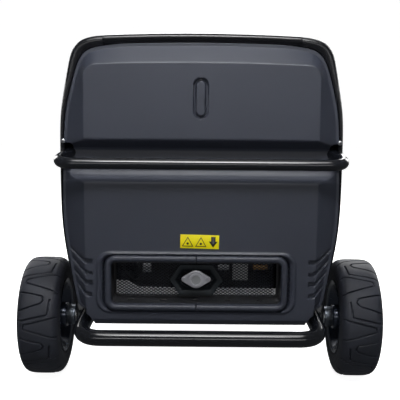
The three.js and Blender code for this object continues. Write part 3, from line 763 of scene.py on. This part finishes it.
def expanded_mesh():
    """Expanded metal: rows of diamond openings with slanted strands."""
    pitch_x, pitch_z = 0.0092, 0.0058
    strand = 0.24
    low_x, high_x = GUARD_LOW.x + 0.002, GUARD_HIGH.x - 0.002
    low_z, high_z = GUARD_LOW.z + 0.001, GUARD_HIGH.z - 0.001
    vertices, faces = [], []
    columns = int((high_x - low_x) / (pitch_x / 2))
    rows = int((high_z - low_z) / (pitch_z / 2))
    y = (GUARD_LOW.y + GUARD_HIGH.y) / 2
    for i in range(1, rows):
        for j in range(1, columns):
            if (i + j) % 2:
                continue
            cx, cz = low_x + j * pitch_x / 2, low_z + i * pitch_z / 2
            if math.hypot(cx - EXHAUST.x, (cz - EXHAUST.z) * 1.2) < 0.030:
                continue
            corners = [(1, 0), (0, 1), (-1, 0), (0, -1)]
            base = len(vertices)
            for dx, dz in corners:
                vertices.append((cx + dx * pitch_x / 2, y, cz + dz * pitch_z / 2))
            inner = 1 - strand
            for dx, dz in corners:
                lift = -0.0011 if dz > 0 else (0.0011 if dz < 0 else 0.0)
                vertices.append((cx + dx * pitch_x / 2 * inner, y + lift,
                                 cz + dz * pitch_z / 2 * inner))
            for k in range(4):
                m = (k + 1) % 4
                faces.append((base + k, base + m, base + 4 + m, base + 4 + k))
    guard = make("expanded_metal", vertices, faces, 20)
    with editing(guard) as bm:
        bmesh.ops.remove_doubles(bm, verts=bm.verts, dist=1e-5)
    thicken(guard, 0.0008, 0.0)
    dress(guard, MESH_STEEL, replaces="guard_mesh")


def flange():
    """Diamond flange with a turned outlet ring, and a screen of crossed wires in it."""
    y0 = FLANGE_LOW.y
    softened("exhaust_flange", FLANGE, segments=3)
    wires = []
    reach, pitch = 0.0088, 0.0022
    for k in range(-3, 4):
        offset = k * pitch
        run = math.sqrt(max(reach ** 2 - offset ** 2, 0))
        level = y0 + 0.004
        for ends in (((offset, -run), (offset, run)), ((-run, offset), (run, offset))):
            line = [(EXHAUST.x + x, level, EXHAUST.z + z) for x, z in ends]
            wires.append(sweep("wire", [line[0], line[1]], 0.00045, 6))
    screen = joined("arrestor_screen_wires", wires)
    dress(screen, ZINC)
    for x in (-0.0225, 0.0225):
        bolt = turned("bolt", [(-0.001, 0), (-0.001, 0.0042), (0.0025, 0.0042), (0.0035, 0.003),
                               (0.0035, 0)], "Y", (EXHAUST.x + x, y0 + 0.0068, EXHAUST.z), 6)
        dress(bolt, ZINC)
        bolt.name = "flange_bolt_" + ("left" if x < 0 else "right")


def heat_plate():
    """A pressed hexagonal plate, dished towards the outlet pipe behind the flange."""
    section = [(0.0, -0.3110), (0.0, -0.3165), (0.0008, -0.3172), (0.0085, -0.3172),
               (0.0098, -0.3165), (0.0205, -0.2990), (0.0205, -0.2980), (0.0088, -0.3155),
               (0.0010, -0.3160), (0.0010, -0.3110)]
    lean = Vector((0.0205, 0.031)).normalized()
    points = np.zeros((len(section), 6, 3))
    for i, (inset, y) in enumerate(section):
        height, reach = 0.0315 - inset, 0.0455 - inset
        side = reach / lean.y
        shoulder = (reach - lean.x * height) / lean.y
        corners = [(side, 0), (shoulder, height), (-shoulder, height), (-side, 0),
                   (-shoulder, -height), (shoulder, -height)]
        for k, (x, z) in enumerate(corners):
            points[i, k] = (EXHAUST.x + x, y, EXHAUST.z - 0.0045 + z)
    plate = grid("heat_plate_dished", points, around=True, across=True)
    dress(face_outward(plate), BLUED, replaces="exhaust_heat_plate")


def inner_tabs():
    """Small fittings on the muffler and wiring that show through the mesh."""
    y = MUFFLER_FRONT_Y
    tag = rounded_block("inner_white_connector", (0.066, y - 0.0040, 0.2315),
                        (0.098, y - 0.0004, 0.2660), 0.0012)
    dress(tag, WHITE_MARK)
    lug = rounded_block("inner_steel_lug", (-0.1190, y - 0.0040, 0.2465),
                        (-0.1010, y - 0.0004, 0.2670), 0.0012)
    strap = rounded_block("inner_steel_strap", (0.036, y - 0.0032, 0.2520),
                          (0.0595, y - 0.0004, 0.2640), 0.001)
    dress(lug, ZINC)
    dress(strap, ZINC)
    clip = rounded_block("inner_brass_clip", (0.108, y - 0.0032, 0.2530),
                         (0.139, y + 0.0030, 0.2640), 0.001)
    dress(clip, BRASS)
    hose = [(-0.150, y + 0.004, 0.280), (-0.158, y, 0.258), (-0.153, y - 0.001, 0.243),
            (-0.143, y - 0.001, 0.234), (-0.130, y - 0.001, 0.2325), (-0.121, y + 0.006, 0.238)]
    hose = np.array(hose)
    level = resample(smooth_line(hose[:, [0, 2]]), 40)
    depth = resample(smooth_line(hose[:, [1, 2]]), 40)
    path = np.stack([level[:, 0], depth[:, 0], level[:, 1]], axis=1)
    dress(sweep("inner_breather_hose", path, 0.0028, 12), SOFT_RUBBER)


bezel()
window_duct()
expanded_mesh()
flange()
heat_plate()
inner_tabs()
paint("spark_arrestor_screen", CAST)
paint("muffler_heat_shield", SHIELD)
# The muffler's near-black is partly painted shade of the body's inside.
paint("muffler", MUFFLER_DARK_AND_SHADE)


# ---- Side shells, door and top cover ----
def shell_lines(slots, door):
    """Section points and y lines of a shell, with lines on every cut edge."""
    line = resample(smooth_line(SIDE, 3), 96)
    boxes = list(slots) + ([door] if door else [])
    cuts_z = sorted({z for box in boxes for z in box[2:]})
    rising = line[line[:, 1] < 0.69]
    extra = [(np.interp(z, rising[:, 1], rising[:, 0]), z) for z in cuts_z]
    line = np.array(sorted(line.tolist() + [list(p) for p in extra], key=lambda p: p[1]))
    y = np.linspace(SHELL_LOW.y + LIP_REACH, SHELL_HIGH.y - LIP_REACH, 66).tolist()
    y += [v for box in boxes for v in box[:2]]
    return line, np.array(sorted(set(y)))


def side_shell(name, side, slots, door):
    """A moulded side shell with a rounded front and back lip and a column of slots."""
    line, ys = shell_lines(slots, door)
    direction = np.gradient(line, axis=0)
    direction /= np.linalg.norm(direction, axis=1)[:, None]
    inward = np.stack([-direction[:, 1], direction[:, 0]], axis=1)
    reach = (border(line[:, 1]) + 0.0012)[:, None]
    lip = [(1.0, 0.0020), (1.0, -0.0012), (0.95, -0.0022), (0.45, -0.0058), (0.25, -0.0060),
           (0.09, -0.0032), (0.0, 0.0005)]
    rows = [(line + inward * reach * k, SHELL_LOW.y + dy + LIP_REACH) for k, dy in lip]
    rows += [(line, y) for y in ys[1:-1]]
    rows += [(line + inward * reach * k, SHELL_HIGH.y - dy - LIP_REACH) for k, dy in lip[::-1]]
    points = np.array([np.stack([p[:, 0] * side, np.full(len(p), y), p[:, 1]], axis=1)
                       for p, y in rows])
    keep = np.ones((len(rows) - 1, len(line) - 1), bool)
    cy = (points[:-1, :-1, 1] + points[1:, 1:, 1]) / 2
    cz = (points[:-1, :-1, 2] + points[1:, 1:, 2]) / 2
    for y0, y1, z0, z1 in list(slots) + ([door] if door else []):
        keep &= ~((cy > y0) & (cy < y1) & (cz > z0) & (cz < z1))
    if side < 0:
        points, keep = points[:, ::-1], keep[:, ::-1]
    shell = grid(name, points, keep, angle=50)
    return thicken(shell, SHELL_WALL, 1.0)


def door_skin():
    """The maintenance door: the same section as the shell, with a raised border."""
    line = resample(smooth_line(SIDE, 3), 240)
    rising = line[line[:, 1] < 0.69]
    z = np.linspace(DOOR_LOW.z, DOOR_HIGH.z, 90)
    y = np.linspace(DOOR_LOW.y, DOOR_HIGH.y, 90)
    x = np.interp(z, rising[:, 1], rising[:, 0])
    yy, zz = np.meshgrid(y, z)
    middle_y, middle_z = (y[0] + y[-1]) / 2, (z[0] + z[-1]) / 2
    edge = rectangle_distance(yy, zz, y[-1] - y[0] - 0.03, z[-1] - z[0] - 0.03, 0.02,
                              middle_y, middle_z)
    recess = 0.0022 * (1 - blend_step(-0.004, 0.002, edge))
    ends = rectangle_distance(yy, zz, y[-1] - y[0], z[-1] - z[0], 0.004, middle_y, middle_z)
    recess = recess + 0.0012 * blend_step(-0.003, 0.0, ends)
    points = np.stack([x[:, None] - recess, yy, zz], axis=2)
    door = grid("maintenance_door_skin", points, angle=50)
    thicken(door, 0.0033)
    dress(door, SHELL, "door", "maintenance_door")


def top_cover():
    """The crowned top cover, with turned-down ends and a well round the fuel cap."""
    half, crown_z = TOP_HIGH.x, TOP_HIGH.z
    x = np.linspace(-half, half, 72)
    crown = crown_z - CROWN_RISE * (x / half) ** 2
    ends = [(0.0065, -0.019), (0.0050, -0.0182), (0.0002, -0.0085), (0.0003, -0.0062),
            (0.0018, -0.0034), (0.0045, -0.0014), (0.0085, -0.0003)]
    run = np.linspace(TOP_LOW.y + 0.018, TOP_HIGH.y - 0.018, 90)
    rows = [(TOP_LOW.y + dy, dz) for dy, dz in ends] + [(y, 0.0) for y in run]
    rows += [(TOP_HIGH.y - dy, dz) for dy, dz in ends[::-1]]
    points = np.array([np.stack([x, np.full(len(x), y), crown + dz], axis=1) for y, dz in rows])
    cap = centre_of("fuel_cap")[2]
    cover = grid("top_cover_skin", points[:, ::-1], angle=50)
    thicken(cover, COVER_WALL, 1.0)
    cutter = round_post("well_cutter", 0.60, 0.80, 0.052, "Z", (cap.x, cap.y, 0), 72)
    cut(cover, cutter)
    cover.data.set_sharp_from_angle(angle=math.radians(40))
    dress(cover, SHELL, replaces="top_cover")
    ring = turned("fuel_well", [(0.7262, 0.0540), (0.7285, 0.0528), (0.7275, 0.0505),
                                (0.716, 0.0490), (0.706, 0.0460), (0.704, 0.0435), (0.702, 0.0435),
                                (0.702, 0.0475), (0.714, 0.0522), (0.7262, 0.0540)], "Z",
                  (cap.x, cap.y, 0), 72)
    dress(ring, DARK)
    return cap


def fuel_cap(cap):
    """A ribbed screw cap with a raised finger bar."""
    count, low, high, radius = 72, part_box("fuel_cap")[0].z, 0.716, 0.040
    turn = np.linspace(0, 2 * math.pi, count * 4, endpoint=False)
    rib = 1 - 0.018 * (0.5 - 0.5 * np.cos(turn * 24))
    rings = [(low, 0.0, 0), (low, 0.93, 1), (low + 0.001, 0.99, 1), (high - 0.003, 0.985, 1),
             (high - 0.001, 0.95, 1), (high, 0.90, 0), (high - 0.0012, 0.86, 0),
             (high - 0.0012, 0.0, 0)]
    points = np.zeros((len(rings), len(turn), 3))
    for i, (z, scale, ribbed) in enumerate(rings):
        r = radius * scale * (rib if ribbed else 1.0)
        points[i, :, 0] = cap.x + r * np.cos(turn)
        points[i, :, 1] = cap.y + r * np.sin(turn)
        points[i, :, 2] = z
    body = face_outward(grid("cap_body", points, across=True))
    bar = rounded_block("cap_bar", (cap.x - 0.033, cap.y - 0.006, high - 0.002),
                        (cap.x + 0.033, cap.y + 0.006, 0.725), 0.0025)
    piece = joined("fuel_cap_ribbed", [body, bar])
    dress(piece, DARK, "cap", "fuel_cap")


# Cooling slots, as the CAD shells have them: low and high y, then low and high z.
SHELL_SLOTS = [(0.19, 0.29, 0.35 + i * 0.02, 0.358 + i * 0.02) for i in range(7)]
DOOR_CUT = (DOOR_LOW.y - 0.0015, DOOR_HIGH.y + 0.0015, DOOR_LOW.z - 0.0015, DOOR_HIGH.z + 0.0015)
left_shell = side_shell("side_shell_left_skin", -1, SHELL_SLOTS, None)
dress(left_shell, SHELL, replaces="side_shell_left")
right_shell = side_shell("side_shell_right_skin", 1, SHELL_SLOTS, DOOR_CUT)
dress(right_shell, SHELL, replaces="side_shell_right")
door_skin()
CAP = top_cover()
fuel_cap(CAP)


# ---- Bars, handle and stand ----
def bars():
    """Smooth bent tubes in place of the CAD's faceted ones."""
    stand_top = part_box("stand_leg")[1].z
    low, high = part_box("handle_tube")
    radius = 0.0125
    towing = (high.x - radius, (low.y + high.y) / 2, low.z + radius)
    for name, r, (x, y, z), back, bend, body, node in (
        ("upper_guard_bar", 0.011, (0.284, -0.384, 0.477), (0.236, -0.240, 0.510), 0.044,
         "chassis", "upper_bar"),
        ("lower_guard_bar", 0.016, (0.245, -0.375, 0.131), (0.227, -0.264, 0.164), 0.050,
         "chassis", "lower_bar"),
        ("stand_tube", radius, (0.190, 0.250, 0.034), (0.190, 0.250, stand_top), 0.040,
         "chassis", "stand_leg"),
        ("towing_tube", radius, towing, (*towing[:2], high.z), 0.044,
         "towing_handle", "handle_tube"),
    ):
        ends = [(side * back[0], back[1], back[2]) for side in (-1, 1)]
        path = bent_path([ends[0], (-x, y, z), (x, y, z), ends[1]], bend)
        dress(sweep(name, path, r), PAINT, body, node)
    low, high, centre = centre_of("handle_grip")
    profile = [(low.x, 0.0128), (low.x, 0.0175), (low.x + 0.003, 0.019)]
    steps = np.linspace(low.x + 0.008, high.x - 0.008, 121)
    profile += [(a, 0.0182 + 0.0008 * math.cos(i * math.pi * 0.5)) for i, a in enumerate(steps)]
    profile += [(high.x - 0.003, 0.019), (high.x, 0.0175), (high.x, 0.0128), (low.x, 0.0128)]
    grip = turned("towing_grip", profile, "X", (0, centre.y, centre.z), 48)
    dress(grip, SOFT_RUBBER, "towing_handle", "handle_grip")


bars()


# ---- Wheels ----
TREAD_PERIODS = 8
TREAD_PHASE = 0.30
# Groove lines as (turn in periods, place across from the outboard edge), one period's worth.
TREAD_LINES = [
    [(0.00, 1.0), (0.17, 0.22), (0.26, 0.20), (0.48, 1.0)],
    [(0.45, 0.0), (0.57, 0.62), (0.65, 0.66), (0.72, 0.60), (0.90, 0.0)],
    [(0.64, 0.80), (0.96, 0.76), (1.11, 0.0)],
]


def tread_fall(u, v, length, width):
    """Depth of the tread grooves: wedges from both shoulders, and a line beside one."""
    best = np.full(u.shape, 1e9)
    for line in TREAD_LINES:
        for shift in (-1, 0, 1):
            placed = [((a + shift) * length, b * width) for a, b in line]
            best = np.minimum(best, line_distance(u * length, v * width, placed))
    return 0.0040 * (1 - blend_step(0.0008, 0.0018, best))


def tyre(name, side):
    """A tubeless tyre with interlocking tongue tread and rings on its walls."""
    low, high, centre = centre_of("tyre_" + name)
    half = (high.x - low.x) / 2
    crown = [(-half + 0.0095, 0.0752), (-half + 0.003, 0.081), (-half + 0.0006, 0.090),
             (-half, 0.100), (-half + 0.0012, 0.109), (-half + 0.004, 0.1165),
             (-half + 0.010, 0.1235), (-half + 0.020, 0.1263), (-half + 0.032, 0.127)]
    crown += [(-a, r) for a, r in crown[::-1]]
    line = resample(smooth_line(crown, 2), 150)
    count = TREAD_PERIODS * 96
    turn = np.linspace(0, 2 * math.pi, count, endpoint=False)
    u = (turn * TREAD_PERIODS / (2 * math.pi) + TREAD_PHASE) % 1.0
    uu, along = np.meshgrid(u, line[:, 0], indexing="ij")
    v = (half - along * side) / (2 * half)
    pitch = 2 * math.pi * WHEEL_RADIUS / TREAD_PERIODS
    fall = tread_fall(uu, v, pitch, 2 * half) * (line[:, 1] > 0.115)[None, :]
    wall = 0.0007 * (np.abs(((line[:, 1] - 0.084) % 0.012) - 0.006) < 0.0012)
    wall *= (line[:, 1] < 0.108) & (line[:, 1] > 0.083)
    radius = line[:, 1][None, :] - fall
    points = np.zeros((count, len(line), 3))
    points[:, :, 0] = centre.x + (line[:, 0] - np.sign(line[:, 0]) * wall)[None, :]
    points[:, :, 1] = centre.y + radius * np.cos(turn)[:, None]
    points[:, :, 2] = centre.z + radius * np.sin(turn)[:, None]
    body = grid("tyre_tread_" + name, points, around=True, across=True, angle=50)
    face_outward(body)
    dress(body, RUBBER, "wheel_" + name, "tyre_" + name)


def rim(name, side):
    """A pressed steel rim with a stepped hub barrel and round lightening holes."""
    low, high, centre = centre_of("tyre_" + name)
    rim_edge = (high.x - low.x) / 2 - 0.0015
    e = rim_edge - 0.0375
    profile = [
        (-0.063, AXLE_RADIUS), (-0.063, 0.0195), (-0.0622, 0.0200), (-0.045, 0.0200),
        (-0.044, 0.0205),
        (-0.0435, 0.0260), (-0.0425, 0.0265), (-0.024, 0.0265), (-0.0215, 0.030),
        (-0.0165, 0.048), (-0.0150, 0.058), (-0.018, 0.0635), (-0.0265 - e, 0.0675),
        (-0.034 - e, 0.0705), (-0.0366 - e, 0.0745), (-0.0375 - e, 0.0785),
        (-0.0368 - e, 0.0798), (-0.0355 - e, 0.0790), (-0.0325 - e, 0.0755), (-0.030 - e, 0.0748),
        (0.030 + e, 0.0748), (0.0325 + e, 0.0755), (0.0355 + e, 0.0790), (0.0368 + e, 0.0798),
        (0.0375 + e, 0.0785), (0.0366 + e, 0.0745), (0.034 + e, 0.0705), (0.026 + e, 0.0680),
        (0.0, 0.0665), (-0.007, 0.0645), (-0.0095, 0.058), (-0.0115, 0.046), (-0.0135, 0.030),
        (-0.011, 0.0265), (0.0145, 0.0240), (0.0155, 0.0235), (0.0160, 0.0225),
        (0.0160, AXLE_RADIUS), (-0.063, AXLE_RADIUS),
    ]
    disc = turned("rim_disc", [(a * side, r) for a, r in profile], "X", centre, 128, 30)
    parts = []
    for k in range(4):
        angle = math.pi / 4 + k * math.pi / 2
        y = centre.y + RIM_HOLE_CIRCLE * math.cos(angle)
        z = centre.z + RIM_HOLE_CIRCLE * math.sin(angle)
        parts.append(round_post("rim_hole", -0.05, 0.05, 0.0085, "X", (centre.x, y, z), 32))
    cut(disc, joined("rim_holes", parts))
    disc.name = "rim_pressed_" + name
    disc.data.set_sharp_from_angle(angle=math.radians(32))
    dress(disc, RIM_PAINT_AND_REFLECTION, "wheel_" + name, "rim_" + name)
    profile = [(0.0455, 0.0203), (0.0455, 0.0215), (0.0465, 0.0222), (0.0565, 0.0222),
               (0.0575, 0.0214), (0.0612, 0.0212), (0.0618, 0.0203), (0.0455, 0.0203)]
    sleeve = turned("hub_sleeve_" + name, [(-side * a, r) for a, r in profile], "X", centre, 64)
    dress(sleeve, HUB_STEEL, "wheel_" + name)
    near, far = sorted((centre.x - side * 0.0634, centre.x - side * 0.0656))
    profile = [(near, AXLE_RADIUS), (near, 0.0185), (near + 0.0004, 0.019),
               (far - 0.0004, 0.019), (far, 0.0185), (far, AXLE_RADIUS), (near, AXLE_RADIUS)]
    washer = turned("axle_washer_" + name, profile, "X", (0, centre.y, centre.z), 48)
    dress(washer, ZINC)


for wheel_name, wheel_side in (("left", -1), ("right", 1)):
    tyre(wheel_name, wheel_side)
    rim(wheel_name, wheel_side)
paint("axle", ZINC)


# ---- Small pieces ----
def hazard_plate():
    """A yellow plate with two dotted triangles and a down arrow, set slightly askew."""
    width, height, y = 0.0765, 0.0275, FACE_Y - 0.0004
    centre = Vector((-0.002, 0, 0.3215))
    lean = Matrix.Rotation(math.radians(1.3), 4, "Y")

    def place(obj):
        obj.data.transform(Matrix.Translation((centre.x, 0, centre.z)) @ lean)
        return obj

    plate = place(rounded_block("hazard_plate", (-width / 2, y - 0.0006, -height / 2),
                                (width / 2, y + 0.0004, height / 2), 0.0003, 2))
    dress(plate, YELLOW)

    def flat(points, hole=()):
        outer = [(x, y - 0.0008, z) for x, z in points]
        inner = [(x, y - 0.0008, z) for x, z in hole]
        n = len(outer)
        if inner:
            faces = [(k, (k + 1) % n, n + (k + 1) % n, n + k) for k in range(n)]
        else:
            faces = [tuple(range(n))]
        obj = make("mark", outer + inner, faces)
        return thicken(obj, 0.0003, 0.0)

    marks = []
    for x in (-0.0235, 0.0025):
        outer = [(x - 0.0112, -0.0100), (x + 0.0112, -0.0100), (x, 0.0098)]
        inner = [(x - 0.0088, -0.0086), (x + 0.0088, -0.0086), (x, 0.0070)]
        marks.append(flat(outer, inner))
        spot = [(x + 0.0024 * math.cos(a), -0.0040 + 0.0024 * math.sin(a))
                for a in np.linspace(0, 2 * math.pi, 16, endpoint=False)]
        marks.append(flat(spot))
    arrow = [(0.0225, 0.0108), (0.0225, 0.0012), (0.0182, 0.0012), (0.0268, -0.0108),
             (0.0354, 0.0012), (0.0311, 0.0012), (0.0311, 0.0108)]
    marks.append(flat(arrow))
    dress(place(joined("hazard_plate_marks", marks)), INK_AND_SHADE)


def screw(name, place, radius=0.0045, toward=-1):
    """A pan-head screw standing on a surface, whose cross recess is a flat black cross on the head:
    painted shade, not a cut recess.
    """
    head = [(0, 0), (0, radius), (toward * 0.0012, radius), (toward * 0.0024, radius * 0.75),
            (toward * 0.003, radius * 0.35), (toward * 0.003, 0)]
    body = turned("head", head, "Y", place, 24)
    x, y, z = place
    shade_cross_bars = []
    # The cross is painted shade: thin black bars on the head, not a cut recess.
    for dx, dz in ((radius * 0.55, 0.0006), (0.0006, radius * 0.55)):
        shade_cross_bars.append(rounded_block("cross", (x - dx, y + toward * 0.0031, z - dz),
                                       (x + dx, y + toward * 0.0024, z + dz), 0.0001, 1))
    dress(body, ZINC).name = name
    dress(joined(name + "_cross_painted_shade", shade_cross_bars), INK_AND_SHADE)


hazard_plate()
for screw_side in (-1, 1):
    label = "left" if screw_side < 0 else "right"
    screw("bar_screw_" + label, (screw_side * 0.2735, SHELL_LOW.y - 0.0026, 0.5165))


# ---- Control end ----
def surrounds():
    """A rounded frame round the panel opening, and one round the intake with slats."""
    y = CONTROL_Y
    section = [(-0.006, y - 0.012), (-0.006, y - 0.002), (-0.004, y + 0.0008), (0.0, y + 0.0016),
               (0.005, y + 0.0012), (0.007, y - 0.0005), (0.007, y - 0.004), (0.0, y - 0.012)]
    outline = rounded_rectangle(0.400, 0.288, 0.018, 0, PANEL_MIDDLE_Z)
    dress(ring_sweep("panel_surround", outline, section), DARK)
    outline = rounded_rectangle(0.348, 0.138, 0.012, 0, INTAKE_Z)
    dress(ring_sweep("intake_surround", outline, section), DARK)
    slats = []
    for k in range(7):
        z = INTAKE_Z - 0.060 + k * 0.020
        slat = rounded_block("slat", (-0.172, -0.0012, -0.009), (0.172, 0.0012, 0.009), 0.001)
        slat.data.transform(Matrix.Translation((0, y - 0.009, z))
                            @ Matrix.Rotation(math.radians(35), 4, "X"))
        slats.append(slat)
    uprights = [rounded_block("upright", (x - 0.0015, y - 0.018, INTAKE_Z - 0.068),
                              (x + 0.0015, y - 0.010, INTAKE_Z + 0.068), 0.0005)
                for x in (-0.087, 0.0, 0.087)]
    dress(joined("intake_slats", slats + uprights), DARK)


def outlet_faces():
    """Sockets seen when a lid is lifted: plain slots and holes drawn as flat black marks, painted
    shade standing in for the openings.
    """
    for node in ("outlet_duplex_left", "outlet_duplex_right"):
        _, high, (x, _, z) = centre_of(node)
        softened(node, PANEL, width=0.0015)
        holes = []
        # Slots, earth holes and lock arcs are flat black marks: painted shade in place of openings.
        for dz in (0.019, -0.019):
            for dx in (-0.0065, 0.0065):
                holes.append(rounded_block("slot", (x + dx - 0.001, high.y - 0.0002, z + dz),
                                           (x + dx + 0.001, high.y + 0.0002, z + dz + 0.008),
                                           0.0001, 1))
            holes.append(round_post("earth", high.y - 0.0002, high.y + 0.0002, 0.0025, "Y",
                                    (x, 0, z + dz - 0.006), 20))
        dress(joined(node + "_painted_slot_shade", holes), INK_AND_SHADE)
    _, high, (x, _, z) = centre_of("outlet_locking")
    softened("outlet_locking", PANEL, width=0.0015)
    # The lock's arcs are black swept lines: painted shade in place of openings.
    arcs = []
    for start in (20, 140, 260):
        angles = np.radians(np.linspace(start, start + 50, 9))
        line = [(x + 0.014 * math.cos(a), high.y, z + 0.014 * math.sin(a)) for a in angles]
        arcs.append(sweep("arc", line, 0.0009, 8))
    dress(joined("outlet_locking_painted_slot_shade", arcs), INK_AND_SHADE)


def display():
    """Raised display frame with a dark glass and plain bar marks."""
    low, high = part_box("display_module")
    softened("display_module", DARK, width=0.002, segments=3)
    glass = rounded_block("display_glass", (low.x + 0.007, high.y - 0.001, low.z + 0.007),
                          (high.x - 0.007, high.y + 0.0006, high.z - 0.007), 0.0005)
    dress(glass, GLASS)
    marks = [rounded_block("bar", (low.x + 0.014 + k * 0.009, high.y + 0.0005, low.z + 0.013),
                           (low.x + 0.019 + k * 0.009, high.y + 0.0009, low.z + 0.018 + k * 0.003),
                           0.0002, 1) for k in range(6)]
    dress(joined("display_bars", marks), WHITE_MARK)


def panel_marks():
    """Plain dots and arcs round the controls, with no words."""
    y = PANEL_HIGH.y
    marks = []
    switch = centre_of("engine_switch")[2]
    for degrees in (90, 135, 180):
        a = math.radians(degrees)
        px, pz = switch.x - 0.031 * math.cos(a), switch.z + 0.031 * math.sin(a)
        marks.append(round_post("dot", y - 0.0002, y + 0.0004, 0.0022, "Y", (px, 0, pz), 16))
    for node, radius in (("start_button", 0.018), ("choke_knob", 0.018), ("breaker_button", 0.011)):
        centre = centre_of(node)[2]
        marks.append(turned("ring", [(y - 0.0002, radius), (y - 0.0002, radius + 0.0012),
                                     (y + 0.0005, radius + 0.0012), (y + 0.0005, radius),
                                     (y - 0.0002, radius)], "Y", (centre.x, 0, centre.z), 48))
    dress(joined("panel_marks", marks), WHITE_MARK)
    levels = (PANEL_LOW.z + 0.010, PANEL_HIGH.z - 0.010)
    corners = [(side * 0.188, z) for side in (-1, 1) for z in levels]
    for k, (px, pz) in enumerate(corners):
        screw("panel_screw_%d" % (k + 1), (px, y, pz), toward=1, radius=0.004)


surrounds()
outlet_faces()
display()
panel_marks()
softened("control_panel", PANEL, width=0.0006, segments=1)
for node, finish, body in (
    ("start_button", GREEN, "start"), ("engine_switch", DARK, "switch"),
    ("choke_knob", DARK, "choke"), ("eco_rocker", DARK, "eco"),
    ("breaker_button", DARK, "breaker"), ("outlet_lid_locking", DARK, "lid_locking"),
    ("outlet_lid_duplex_left", DARK, "lid_duplex_left"),
    ("outlet_lid_duplex_right", DARK, "lid_duplex_right"),
    ("handle_lock", DARK, "handle_lock"), ("door_latch", ZINC, "latch"),
    ("handle_bracket_left", PAINT, "chassis"), ("handle_bracket_right", PAINT, "chassis"),
    ("axle_bracket_left", PAINT, "chassis"), ("axle_bracket_right", PAINT, "chassis"),
    ("base_frame", PAINT, "chassis"), ("ground_terminal", ZINC, "chassis"),
):
    softened(node, finish, body, 0.0008)
softened("recoil_grip", DARK, "recoil", 0.005, 4)
for foot in ("rubber_foot_left", "rubber_foot_right"):
    softened(foot, SOFT_RUBBER, width=0.004, segments=4)

# ---- Inner parts, seen through the window and the slots ----
for node, finish in (
    ("engine_block", CAST), ("cylinder_head", CAST), ("crankshaft", ZINC),
    ("flywheel_fan", CAST), ("alternator_stator", ZINC), ("recoil_housing", PAINT),
    ("carburettor", CAST), ("air_filter_box", DARK), ("inverter_module", CAST),
    ("starter_battery", DARK), ("fuel_tank", DARK),
):
    paint(node, finish)
